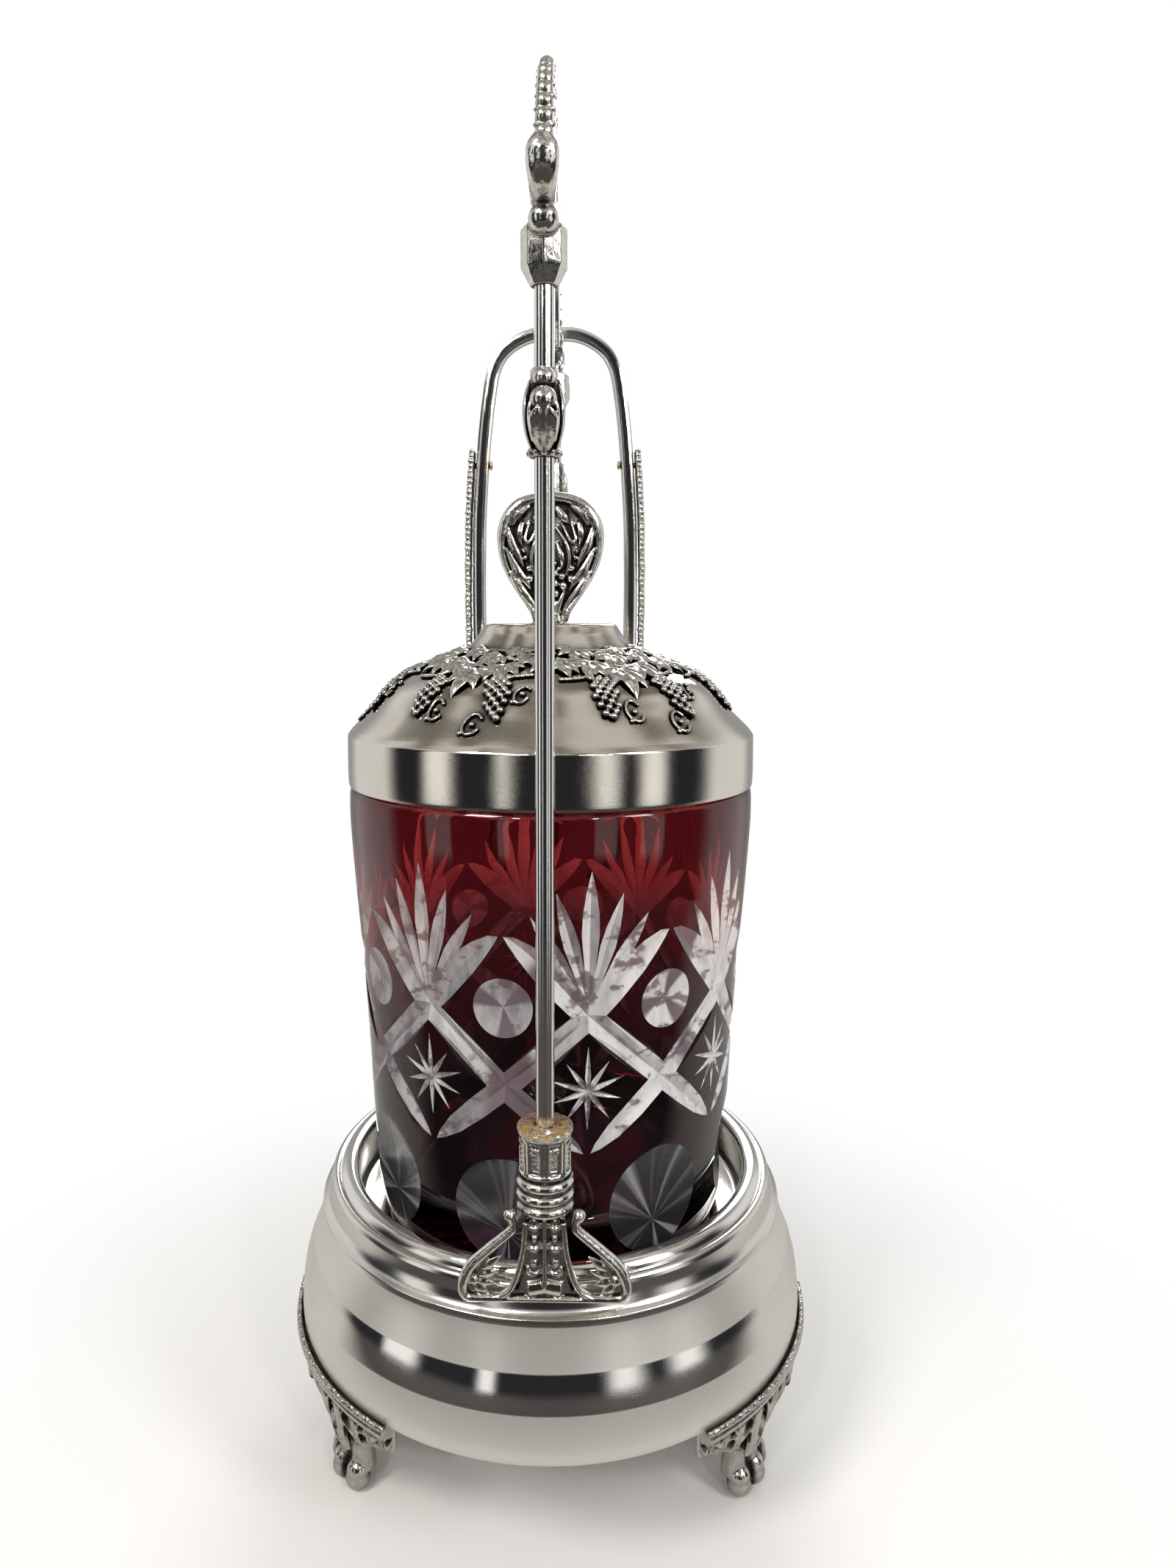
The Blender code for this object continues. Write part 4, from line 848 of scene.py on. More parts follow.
def pattern_depth(at):
    """The deepest of all cuts at each place, in every nearby cell."""
    depth = np.zeros(len(at))
    for shift in (-1, 0, 1):
        moved = at - np.array([shift * cell_width, 0])
        for points, widths, slope in grooves:
            depth = np.maximum(depth, groove_depth(points, widths, slope, moved))
        for degrees, height, across, up, deep in PRINTS:
            away = (moved - flat(degrees, height)) / (across * MM, up * MM)
            depth = np.maximum(depth, deep * MM * (1 - (away ** 2).sum(axis=1)))
    return depth


def groove_lines(points, widths):
    """Both edges and the keel of a groove, as lines of points."""
    left, right = [], []
    last = len(points) - 1
    for index, (point, width) in enumerate(zip(points, widths)):
        along = points[min(index + 1, last)] - points[max(index - 1, 0)]
        aside = np.array([-along[1], along[0]]) / np.linalg.norm(along)
        left.append(point + aside * width)
        right.append(point - aside * width)
    return left, list(points), right


print("deepest bar", round(WHEEL_SLOPE * max(w for a, z, w in BAR_LINE), 2), "mm")

# %% Lines of one cell
NEAR_GROOVE, NEAR_PRINT = 1.4, 1.1
PRINT_STEPS = 44
PRINT_RINGS = (0.86, 0.70, 0.50, 0.25)

cell_points, cell_edges, drawn = [], [], []
prints, print_points = [], []


def add_line(line, closed=False):
    """Adds a line of points to the cell, as edges that must be kept."""
    first = len(cell_points)
    cell_points.extend(np.array(point) for point in line)
    count = len(line)
    for index in range(count if closed else count - 1):
        pair = (first + index, first + (index + 1) % count)
        cell_edges.append(pair)
        drawn.append((cell_points[pair[0]], cell_points[pair[1]]))


for shift in (-1, 0, 1):
    offset = np.array([shift * cell_width, 0])
    for points, widths, slope in grooves:
        for line in groove_lines(points, widths):
            if min(abs(point[0] + offset[0]) for point in line) < fold * NEAR_GROOVE:
                add_line([point + offset for point in line])
    for degrees, height, across, up, deep in PRINTS:
        centre = flat(degrees, height) + offset
        if abs(centre[0]) > fold * NEAR_PRINT:
            continue
        turns = [math.tau * k / PRINT_STEPS for k in range(PRINT_STEPS)]
        rim = [np.array([across * MM * math.sin(t), up * MM * math.cos(t)]) for t in turns]
        prints.append((centre, np.array([across, up]) * MM))
        add_line([centre + point for point in rim], closed=True)
        for share in PRINT_RINGS:
            print_points.extend(centre + point * share for point in rim[::2])
drawn = np.array(drawn)
print(len(drawn), "drawn edges,", len(prints), "prints in reach of the cell")

# %% Points between the lines
GRID = 1.5 * MM
GRID_ROW = 0.87
CLEAR_OF_EDGE = 0.45 * MM
EDGE_STEPS = 22
SAME_PLACE = 1e-7
cut_low, cut_high = 61.5 * MM, 156.0 * MM

border = [(-fold + cell_width * k / EDGE_STEPS, cut_low) for k in range(EDGE_STEPS + 1)]
border += [(fold - cell_width * k / EDGE_STEPS, cut_high) for k in range(EDGE_STEPS + 1)]
border_start = len(cell_points)
cell_points.extend(np.array(point) for point in border)
cell_edges.extend((border_start + k, border_start + (k + 1) % len(border)) for k in range(len(border)))
rows = int((cut_high - cut_low) / (GRID * GRID_ROW))
columns = int(cell_width / GRID)
grid_points = []
for row in range(1, rows):
    z = cut_low + (cut_high - cut_low) * row / rows
    start = 0.5 if row % 2 else 0
    xs = [-fold + cell_width * (k + start) / columns for k in range(columns)]
    if start:
        xs.append(-fold)
    grid_points.extend(np.array([x, z]) for x in xs + [fold])


def far_from_lines(point):
    """Whether a place keeps clear of every drawn line, and of the folds or on one."""
    edge_gap = abs(abs(point[0]) - fold)
    if abs(point[0]) > fold + SAME_PLACE or SAME_PLACE < edge_gap < CLEAR_OF_EDGE:
        return False
    start, along = drawn[:, 0], drawn[:, 1] - drawn[:, 0]
    share = np.clip(((point - start) * along).sum(axis=1) / (along ** 2).sum(axis=1), 0, 1)
    return np.linalg.norm(start + along * share[:, None] - point, axis=1).min() > CLEAR_OF_EDGE


def in_print(point):
    """Whether a place lies within a thumbprint."""
    return any((((point - centre) / size) ** 2).sum() < 1 for centre, size in prints)


between = [point for point in print_points if far_from_lines(point)]
between += [point for point in grid_points if not in_print(point) and far_from_lines(point)]
print(len(between), "points between the lines")

# %% Triangulate one cell
SCALE_TO_FLAT = 1000
WHOLE_HULL = 0
MERGE_DISTANCE = 1e-5
SHALLOWEST_CUT = 0.004 * MM

all_points = [Vector(point * SCALE_TO_FLAT) for point in cell_points + between]
result = delaunay_2d_cdt(all_points, cell_edges, [], WHOLE_HULL, MERGE_DISTANCE)
flat_verts = np.array([tuple(v) for v in result[0]]) / SCALE_TO_FLAT
flat_faces = result[2]
middles = np.array([flat_verts[list(face)].mean(axis=0) for face in flat_faces])
inside = (np.abs(middles[:, 0]) < fold) & (middles[:, 1] > cut_low) & (middles[:, 1] < cut_high)
vert_depth = pattern_depth(flat_verts)
face_cut = pattern_depth(middles) > SHALLOWEST_CUT
print("one cell:", int(inside.sum()), "triangles")

# %% Ruby skin and clear glass
RUBY_HIGH = (0.125, 0.006, 0.010)
RUBY_LOW = (0.016, 0.001, 0.003)
RUBY_FADE = (158 * MM, 84 * MM)

ruby_skin, tree, shader = new_finish(
    "ruby_skin", Roughness=0.02, IOR=1.5, Transmission_Weight=1.0)
height = split_axes(tree, object_place(tree))[2]
ripple = use_group(tree, ripples, Size=120, Lift=0.25)["Height"]
uneven = math_node(tree, "SUBTRACT", ripple, 0.12)
# the ruby runs darker towards the bottom, unevenly
thickness = math_node(tree, "ADD", smooth_range(tree, height, *RUBY_FADE), uneven, clamp=True)
feed(tree, shader, Base_Color=mix_colour(tree, thickness, RUBY_HIGH, RUBY_LOW))

clear_glass, tree, shader = new_finish("clear_glass", IOR=1.5, Transmission_Weight=1.0, Roughness=0.01)
faint = use_group(tree, ripples, Size=90, Lift=1.0)["Value"]
feed(tree, shader, Base_Color=mix_colour(tree, faint, (0.97, 0.95, 0.95), (0.93, 0.90, 0.90)))
print("finishes:", ruby_skin.name, clear_glass.name)

# %% [markdown]
# The cut glass gets its tone in steps: painted light and shade by each facet's
# slope towards a fixed light, fine marks of the wheel, patches where dark ruby
# shows through, and painted dark wedges of shade inside the thumbprints. The low
# prints have a tone of their own, with painted rays.

# %% Cut glass: painted facet light, wheel marks and patches
KEEL_LIGHT = (0.75, -0.35, 0.55)
FACET_EDGE, STREAK_EDGE, PATCH_EDGE = (-0.15, 0.75), (0.30, 0.66), (0.53, 0.62)
FACET_DARK, FACET_PALE = (0.15, 0.14, 0.16), (0.96, 0.96, 0.97)
RUBY_THROUGH, WEDGE_TONE = (0.17, 0.12, 0.13), (0.20, 0.15, 0.17)

cut_glass, tree, shader = new_finish(
    "cut_glass", IOR=1.5, Transmission_Weight=0.3, Emission_Strength=1.0)
east, north, height = split_axes(tree, object_place(tree))
wheel_marks = add_noise(tree, (1, 1, 0.3), Scale=230, Detail=5, Roughness=0.6).outputs["Fac"]
facing = add_node(tree, "ShaderNodeVectorMath", operation="DOT_PRODUCT")
tree.links.new(tree.nodes.new("ShaderNodeNewGeometry").outputs["True Normal"], facing.inputs[0])
facing.inputs[1].default_value = KEEL_LIGHT
# painted light and shade: facets facing KEEL_LIGHT are painted pale, those turned away dark
lit = smooth_range(tree, facing.outputs["Value"], *FACET_EDGE)
streak = math_node(tree, "MULTIPLY", smooth_range(tree, wheel_marks, *STREAK_EDGE), 0.36)
shade = math_node(tree, "MULTIPLY_ADD", lit, 0.72, streak, clamp=True)
pale = mix_colour(tree, shade, FACET_DARK, FACET_PALE)
patches = add_noise(tree, (1, 1, 1.6), Scale=150, Detail=3, Roughness=0.6).outputs["Fac"]
through = math_node(tree, "MULTIPLY", smooth_range(tree, patches, *PATCH_EDGE), 0.85)
pale = mix_colour(tree, through, pale, RUBY_THROUGH)
print("finish:", cut_glass.name, "with facets and wheel marks")

# %% Cut glass: painted shade wedges in the prints, painted rays in the low prints, painted glow from behind
PRINT_HEIGHT, RAY_FOCUS = THUMBPRINT[1] * MM, 69 * MM
WEDGES_PER_PRINT = 3
WEDGE_EDGE, WEDGE_SIDE, RAY_EDGE = (0.1, 0.8), (0.24, 0.2), (0.48, 0.80)
RAY_DARK, RAY_PALE = (0.03, 0.03, 0.036), (0.40, 0.40, 0.44)
LOW_PRINTS = (90 * MM, 86 * MM)
GLOW_HEIGHTS = (104 * MM, 160 * MM)
NO_LIGHT, RUBY_GLOW = (0, 0, 0), (0.75, 0.26, 0.17)

around = math_node(tree, "ARCTAN2", east, math_node(tree, "MULTIPLY", north, -1))
cell_turn = math_node(
    tree, "MULTIPLY_ADD", around, CELLS / math.tau, CELLS / 2 - FAN_TURN * CELLS / math.tau)
across = math_node(tree, "SUBTRACT", math_node(tree, "FRACT", cell_turn), 0.5)
cell_count = math_node(tree, "FLOOR", cell_turn)
turns = []
for focus in (PRINT_HEIGHT, RAY_FOCUS):
    upward = math_node(tree, "DIVIDE", math_node(tree, "SUBTRACT", height, focus), cell_width)
    turns.append(math_node(tree, "ARCTAN2", across, upward))
cell_phase = math_node(tree, "MULTIPLY", cell_count, 1.7)
wave = math_node(tree, "SINE", math_node(tree, "MULTIPLY_ADD", turns[0], WEDGES_PER_PRINT, cell_phase))
near_print = smooth_range(tree, math_node(tree, "ABSOLUTE", across), *WEDGE_SIDE)
# painted shade: dark wedges round the thumbprint's middle
wedge = math_node(tree, "MULTIPLY", smooth_range(tree, wave, *WEDGE_EDGE), near_print)
pale = mix_colour(tree, wedge, pale, WEDGE_TONE)
rays = add_node(tree, "ShaderNodeTexNoise", noise_dimensions="1D", Scale=2.2, Detail=2, Roughness=0.5)
tree.links.new(math_node(tree, "ADD", turns[1], cell_count), rays.inputs["W"])
# painted image of the star cut's rays, dark and pale, in the low prints
foot_tone = mix_colour(tree, smooth_range(tree, rays.outputs["Fac"], *RAY_EDGE), RAY_DARK, RAY_PALE)
colour = mix_colour(tree, smooth_range(tree, height, *LOW_PRINTS), pale, foot_tone)
behind = tree.nodes.new("ShaderNodeNewGeometry").outputs["Backfacing"]
# painted glow: cut glass seen from its inner side shines ruby, standing for light from behind
glow = math_node(tree, "MULTIPLY", behind, smooth_range(tree, height, *GLOW_HEIGHTS))
feed(tree, shader, Base_Color=colour, Roughness=math_node(tree, "MULTIPLY_ADD", shade, 0.16, 0.12),
     Emission_Color=mix_colour(tree, glow, NO_LIGHT, RUBY_GLOW))
add_bump(tree, shader, wheel_marks, 0.05 * MM)
print("wedges, rays and glow added")

# %% [markdown]
# The body is built in three spun parts round the pattern: the foot below it, the
# shoulder above it, and the clear inside with the neck. Their rings have as many
# steps as eight cells, so the edges meet and are welded.

# %% Lay the cell round the jar
INNER_SHARES = (0.12, 0.27, 0.44, 0.61, 0.778, 0.90)
CUT_EDGE_ANGLE = math.radians(13)
CLEAR_OF_PATTERN = 0.2 * MM
RUBY, CUT, CLEAR = 0, 1, 2

around = CELLS * EDGE_STEPS
mouth_radius = neck_radius - NECK_WALL
inner_floor = jar_bottom + JAR_FLOOR
kick_top = jar_bottom + KICK_HEIGHT
floor_edge = float(jar_surface(inner_floor)) - JAR_WALL * 2
below = [(float(jar_surface(cut_low)), cut_low)]
below += [(r, z) for r, z in jar_line if z < cut_low - CLEAR_OF_PATTERN]
below += [(KICK_RADIUS, jar_bottom), (KICK_RADIUS - KICK_HEIGHT, kick_top)]
below += [(KICK_RADIUS * 0.5, kick_top), (0, kick_top)]
above = [(neck_radius, jar_shoulder)]
above += [(r, z) for r, z in jar_line if z > cut_high + CLEAR_OF_PATTERN]
above += [(float(jar_surface(cut_high)), cut_high)]
inner = [(neck_radius, jar_shoulder), (neck_radius, jar_mouth - NECK_EASE)]
inner += [(neck_radius - NECK_EASE, jar_mouth), (mouth_radius + NECK_EASE, jar_mouth)]
inner += [(mouth_radius, jar_mouth - NECK_EASE), (mouth_radius, jar_shoulder)]
for share in INNER_SHARES[::-1]:
    z = jar_bottom + jar_height * share
    inner.append((float(jar_surface(z)) - JAR_WALL, z))
inner += [(floor_edge, inner_floor), (floor_edge * 0.6, inner_floor), (0, inner_floor)]
work = bmesh.new()
for outline, slot in ((below, RUBY), (above, RUBY), (inner, CLEAR)):
    spin(work, outline, around, slot, closed=False)
bmesh.ops.rotate(work, verts=work.verts[:], matrix=Matrix.Rotation(math.pi / CELLS, 3, "Z"))
used = {i for face, keep in zip(flat_faces, inside) if keep for i in face}
for cell in range(CELLS):
    turns = flat_verts[:, 0] / FLAT_DEGREE * math.pi / 180 + math.tau * cell / CELLS
    radii = jar_surface(flat_verts[:, 1]) - vert_depth
    places = np.stack([radii * np.sin(turns), -radii * np.cos(turns), flat_verts[:, 1]], axis=1)
    verts = {i: work.verts.new(places[i]) for i in used}
    for face, keep, cut in zip(flat_faces, inside, face_cut):
        if keep:
            work.faces.new([verts[i] for i in face]).material_index = CUT if cut else RUBY
bmesh.ops.rotate(work, verts=work.verts[:], matrix=Matrix.Rotation(FAN_TURN, 3, "Z"))
jar = finish_mesh("cut_glass_jar", work, ruby_skin, CUT_EDGE_ANGLE)
jar.data.materials.append(cut_glass)
jar.data.materials.append(clear_glass)
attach(jar, "jar")
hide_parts("jar")
print("jar:", len(jar.data.polygons), "faces")

# %% [markdown]
# ## Tools for castings
#
# The ornament on this stand was carved in wax or wood, moulded and cast. Carved
# work is hard to model face by face, so here it is piled up from simple closed
# forms, as one builds wax: balls for grapes, tapering stems for vines and legs,
# squashed stems for leaves. A voxel remesh then melts the pile into one skin,
# and a light smoothing softens the seams as plating does.
#
# Every form is given in a flat workspace in millimetres: across, up, and out
# towards the viewer. A "place" function then bends that workspace onto the
# piece, so one leaf can lie on a dome, a hoop or a plate. A stem goes through
# knots, each of them a place and a radius, all four in millimetres.

# %% Stems and balls
TINY_STEP = 0.01


def local_frame(place, point, out=(0, 0, 1)):
    """Where a workspace point lands, and which way its outward direction points."""
    here = Vector(place(*point))
    there = Vector(place(*(np.array(point) + np.array(out) * TINY_STEP)))
    return here, (there - here).normalized()


def add_stem(work, place, knots, flat=1.0, per=4, sides=10, out=(0, 0, 1)):
    """A closed stem through (across, up, out, radius) knots, squashed outwards."""
    line = curve_through([tuple(knot) for knot in knots], per)
    frames = [local_frame(place, knot[:3], out) for knot in line]
    rings = []
    last = len(line) - 1
    for index, (knot, (centre, outward)) in enumerate(zip(line, frames)):
        along = frames[min(index + 1, last)][0] - frames[max(index - 1, 0)][0]
        side = along.cross(outward).normalized()
        top = side.cross(along).normalized()
        ring = []
        for step in range(sides):
            angle = math.tau * step / sides
            reach = side * math.cos(angle) + top * (math.sin(angle) * flat)
            ring.append(work.verts.new(centre + reach * knot[3] * MM))
        rings.append(ring)
    for lower, upper in zip(rings, rings[1:]):
        for step in range(sides):
            after = (step + 1) % sides
            work.faces.new((lower[step], lower[after], upper[after], upper[step]))
    work.faces.new(rings[0][::-1])
    work.faces.new(rings[-1])


def add_ball(work, place, centre, radius, flat=1.0, detail=2):
    """A ball at a workspace point, squashed outwards by a share."""
    here, outward = local_frame(place, centre)
    turn = outward.to_track_quat("Z", "Y").to_matrix().to_4x4()
    shape = Matrix.Translation(here) @ turn @ Matrix.Diagonal((1, 1, flat, 1))
    bmesh.ops.create_icosphere(work, subdivisions=detail, radius=radius * MM, matrix=shape)


print("stem and ball ready")

# %% Grapes and leaves
GRAPE_PITCH, GRAPE_ROW = 1.75, 0.87


def add_grapes(work, place, root, tip, width, size, lift=0.4):
    """A bunch of grapes in staggered rows, which narrows from its root to its tip."""
    root, tip = np.array(root), np.array(tip)
    reach = np.linalg.norm(tip - root)
    along = (tip - root) / reach
    aside = np.array([-along[1], along[0]])
    pitch = size * GRAPE_PITCH
    rows = round(reach / (pitch * GRAPE_ROW))
    for row in range(rows + 1):
        count = max(1, round(width * math.sin(math.pi * (0.3 + 0.62 * row / rows)) / pitch))
        count += (count + row) % 2
        for index in range(count):
            step = index - (count - 1) / 2
            spot = root + along * row * pitch * GRAPE_ROW + aside * step * pitch
            bulge = size * 0.7 * math.cos(step / count * math.pi)
            add_ball(work, place, (*spot, lift + bulge), size)


def add_leaf(work, place, root, tip, width, lift=0.4, lobes=5, thick=0.34):
    """A vine leaf: lobes that fan out from its root, each with a raised rib."""
    root, tip = np.array(root), np.array(tip)
    reach = np.linalg.norm(tip - root)
    heading = math.atan2(tip[1] - root[1], tip[0] - root[0])
    middle = (lobes - 1) / 2
    for lobe in range(lobes):
        turn = (lobe - middle) / max(middle, 1)
        angle = heading + turn * 1.15
        size = reach * (1 - 0.38 * abs(turn))
        end = root + np.array([math.cos(angle), math.sin(angle)]) * size
        half = root + (end - root) * 0.52
        wide = width * (1 - 0.25 * abs(turn)) / 2
        blade = [(*root, lift * 0.4, wide * 0.35), (*half, lift, wide),
                 (*(half + (end - half) * 0.6), lift * 0.9, wide * 0.6), (*end, lift * 0.1, 0.10)]
        rib = [(*root, lift * 0.8, 0.22), (*half, lift + wide * thick, 0.2), (*end, lift * 0.3, 0.08)]
        add_stem(work, place, blade, thick, 3, 8)
        add_stem(work, place, rib, 1.0, 3, 6)


def tools_on(work, place):
    """The stem, ball, leaf and grape tools, set to one pile and one workspace."""
    return [partial(tool, work, place) for tool in (add_stem, add_ball, add_leaf, add_grapes)]


def mirrored(place, side):
    """The same workspace, but with across counted to the left when side is -1."""
    return lambda across, up, out: place(side * across, up, out)


print("piling tools ready")

# %% Casting the pile
CRUMB = 24
SOFTENING = 0.4


def drop_crumbs(skin):
    """Takes away specks that the melt left loose, those of fewer than CRUMB corners."""
    work = bmesh.new()
    work.from_mesh(skin)
    left = set(work.verts)
    crumbs = []
    while left:
        group = [left.pop()]
        for vertex in group:
            beyond = {edge.other_vert(vertex) for edge in vertex.link_edges} & left
            left -= beyond
            group += beyond
        if len(group) < CRUMB:
            crumbs += group
    bmesh.ops.delete(work, geom=crumbs, context="VERTS")
    work.to_mesh(skin)
    work.free()
    return len(crumbs)


def cast(name, work, material, grain, keep=0.5):
    """Melts piled forms into one skin, and thins out faces where it is plain."""
    mesh = bpy.data.meshes.new(name)
    work.to_mesh(mesh)
    work.free()
    pile = link_new(name, mesh)
    melt = pile.modifiers.new("melt", "REMESH")
    melt.mode = "VOXEL"
    melt.voxel_size = grain
    soften = pile.modifiers.new("soften", "SMOOTH")
    soften.iterations = 1
    soften.factor = SOFTENING
    thin = pile.modifiers.new("thin out", "DECIMATE")
    thin.ratio = keep
    view = bpy.context.evaluated_depsgraph_get()
    skin = bpy.data.meshes.new_from_object(pile.evaluated_get(view))
    skin.name = name
    crumbs = drop_crumbs(skin)
    bpy.data.objects.remove(pile)
    skin.shade_smooth()
    skin.materials.clear()
    skin.materials.append(material)
    print(name, "has", len(skin.polygons), "faces;", crumbs, "loose corners dropped")
    return link_new(name, skin)


def turned_copy(piece, name, degrees):
    """A copy of a casting, turned round the upright axis, with its own mesh."""
    skin = piece.data.copy()
    skin.transform(Matrix.Rotation(math.radians(degrees), 4, "Z"))
    return link_new(name, skin)


print("casting tools ready")

# %% [markdown]
# ## Lid
#
# The lid is a turned dome with an upright band. Its wreath of vine leaves and
# grapes was struck into the sheet and left darker in its hollows, by tarnish and
# by painted shade that also darkens the dome round the wreath, while the dome was
# buffed bright. The dome is spun here as one profile, and one sixth of the
# wreath is piled on its surface and repeated round it.

# %% Lid dome
LID_WALL = 1.2 * MM
LID_SHARES = (
    (0.050, 1.000), (0.200, 1.000), (0.310, 1.000), (0.321, 0.998), (0.330, 0.985), (0.336, 0.972),
    (0.336, 0.972), (0.352, 0.940), (0.377, 0.901), (0.412, 0.848), (0.412, 0.848), (0.480, 0.808),
    (0.550, 0.772), (0.662, 0.710), (0.739, 0.656), (0.793, 0.600), (0.864, 0.490), (0.950, 0.383),
    (0.975, 0.350), (0.987, 0.330), (0.987, 0.330), (0.9965, 0.310), (0.998, 0.273), (1.000, 0.104),
    (0.999, 0.020), (0.9968, 0.000), (0.9968, 0.000),
)
LID_INSIDE_SHARES = (0.273, 0.383, 0.490, 0.600, 0.656, 0.710, 0.772, 0.815)
ENGRAVED_LINE = ((0.260, 0), (0.275, 0.22 * MM), (0.290, 0))
PAST_ENGRAVING, CROWN_EDGE = 0.292, 0.321
UPRIGHT_STEPS = 9
STUD_HOLE = 1.8 * MM

lid_height = lid_top - lid_bottom
lid_knots = [(lid_radius * r, lid_bottom + lid_height * h) for r, h in LID_SHARES]
lid_line = curve_through(lid_knots, CURVE_STEPS)
lid_line_r = np.array([r for r, z in lid_line])
lid_line_z = np.array([z for r, z in lid_line])


def lid_surface(radius):
    """The dome's height at a radius."""
    return float(np.interp(radius, lid_line_r[:-UPRIGHT_STEPS], lid_line_z[:-UPRIGHT_STEPS]))


def lid_inside(share):
    """A point inside the sheet, level with a share of the lid's height."""
    z = lid_bottom + lid_height * share
    order = np.argsort(lid_line_z)
    radius = float(np.interp(z, lid_line_z[order], lid_line_r[order]))
    above = float(np.interp(z + LID_WALL, lid_line_z[order], lid_line_r[order]))
    slope = Vector((above - radius, LID_WALL)).normalized()
    return radius - slope.y * LID_WALL, z + slope.x * LID_WALL


lid_profile = [(STUD_HOLE, lid_top)]
lid_profile += [(lid_radius * share, lid_top - depth) for share, depth in ENGRAVED_LINE]
lid_profile += [point for point in lid_line if point[0] > lid_radius * PAST_ENGRAVING]
lid_profile += [(lid_line[-1][0] - LID_WALL, lid_bottom)]
lid_profile += [lid_inside(share) for share in LID_INSIDE_SHARES]
lid_profile += [(r, lid_top - LID_WALL) for r in (lid_radius * CROWN_EDGE - LID_WALL, STUD_HOLE)]
print("lid profile of", len(lid_profile), "points,", round(lid_height / MM, 1), "mm high")

# %% Lid finish and piece
LID_CORNER = math.radians(24)

lid_silver, tree, shader = new_finish("lid_silver", Metallic=1.0)
worn = use_group(tree, scratches, Fineness=700)["Value"]
# tarnish and painted shade: the dome goes nearly black beside the wreath and in its own corners
dark = use_group(tree, tarnish, Reach=2.6 * MM, Depth=1.9)["Mask"]
warm = mix_colour(tree, worn, (0.82, 0.77, 0.69), (0.62, 0.565, 0.485))
feed(tree, shader, Base_Color=mix_colour(tree, dark, warm, (0.05, 0.045, 0.04)),
     Roughness=math_node(tree, "MULTIPLY_ADD", worn, 0.13, 0.02))
add_bump(tree, shader, worn, 0.03 * MM)
lid = turned_piece("lid_dome", lid_profile, lid_silver, TURNING_STEPS, angle=LID_CORNER)
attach(lid, "lid")
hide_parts("lid")
print("lid:", len(lid.data.polygons), "faces")

# %% [markdown]
# All places in the wreath are millimetres across and millimetres of radius.
# Leaves have a root, a tip and a width. Curls have a centre and a size. A bead
# string runs from one place to another and sags outwards.

# %% Wreath of the lid
WREATH_REPEATS = 6
WREATH_TURN = math.radians(33)
WREATH_GRAIN = 0.17 * MM
WREATH_SINK = 0.25
SLOPE_REACH = 0.3 * MM
WREATH_BUNCHES = (((-7.9, 33.2), (-10.4, 39.6)), ((5.6, 33.0), (9.4, 40.6)))
BUNCH_WIDTH, GRAPE = 4.6, 0.78
WREATH_LEAVES = (
    ((-1.6, 29.0), (-2.8, 37.6), 3.6), ((3.8, 27.0), (6.2, 34.6), 3.2),
    ((-6.2, 25.4), (-10.4, 32.6), 3.3), ((0.8, 22.6), (-3.4, 28.6), 3.0),
    ((7.4, 21.6), (11.0, 28.4), 2.9), ((-5.6, 19.6), (-9.4, 25.4), 2.7),
    ((4.0, 19.4), (2.4, 24.4), 2.4), ((12.6, 24.6), (13.6, 31.4), 2.9),
    ((-12.8, 25.6), (-13.6, 31.8), 2.7),
)
WREATH_CURLS = ((-4.9, 39.4, 1.7), (4.9, 41.6, 1.9), (12.4, 36.4, 1.5))
CURL_ANGLES = np.linspace(0.4, 5.7, 9)
BEAD_STRINGS = ((-16.0, 32.6, -2.5, 26.5, 1.8), (-1.0, 26.0, 11.6, 31.0, 2.6))
BEADS_PER_STRING = 16
WREATH_VINES = (
    ((-14, 28.0), (-7, 26.0), (0, 28.5), (5, 31.5)), ((13.5, 30.0), (8, 25.5), (3, 24.0), (-3, 23.2)),
    ((-9.5, 21.4), (-4, 20.2), (2, 20.6), (8.5, 19.8)),
)
COLLAR_SCROLL = ((-0.8, 13.15), (-0.3, 13.75), (0.3, 13.15), (0.8, 13.75))
COLLAR_REPEATS, COLLAR_PITCH = 7, 2.0


def on_lid(across, radius, out):
    """Bends the workspace onto the dome: across in mm, radius in mm, out in mm."""
    turn = across / radius
    at = radius * MM
    rise = lid_surface(at - SLOPE_REACH) - lid_surface(at + SLOPE_REACH)
    tilt = math.atan2(rise, 2 * SLOPE_REACH)
    flat_radius = at + (out - WREATH_SINK) * MM * math.sin(tilt)
    height = lid_surface(at) + (out - WREATH_SINK) * MM * math.cos(tilt)
    return flat_radius * math.sin(turn), -flat_radius * math.cos(turn), height


wreath_work = bmesh.new()
stem, ball, leaf, grapes = tools_on(wreath_work, on_lid)
for root, tip in WREATH_BUNCHES:
    grapes(root, tip, BUNCH_WIDTH, GRAPE, 0.35)
for root, tip, width in WREATH_LEAVES:
    leaf(root, tip, width, 0.85, 5, 0.42)
for x, r, size in WREATH_CURLS:
    curl = [(x + size * math.cos(a), r + size * math.sin(a), 0.5, 0.36) for a in CURL_ANGLES]
    stem(curl, 1.2, 2, 7)
    ball((x, r, 0.5), 0.62)
    ball((x - size * 0.9, r + size * 0.9, 0.45), 0.52)
for start_x, start_r, end_x, end_r, sag in BEAD_STRINGS:
    for index in range(BEADS_PER_STRING):
        way = index / (BEADS_PER_STRING - 1)
        r = start_r + (end_r - start_r) * way + sag * math.sin(math.pi * way)
        ball((start_x + (end_x - start_x) * way, r, 0.55), 0.56, 1, 1)
for vine in WREATH_VINES:
    stem([(x, r, 0.5, 0.55) for x, r in vine], 1, 4, 7)
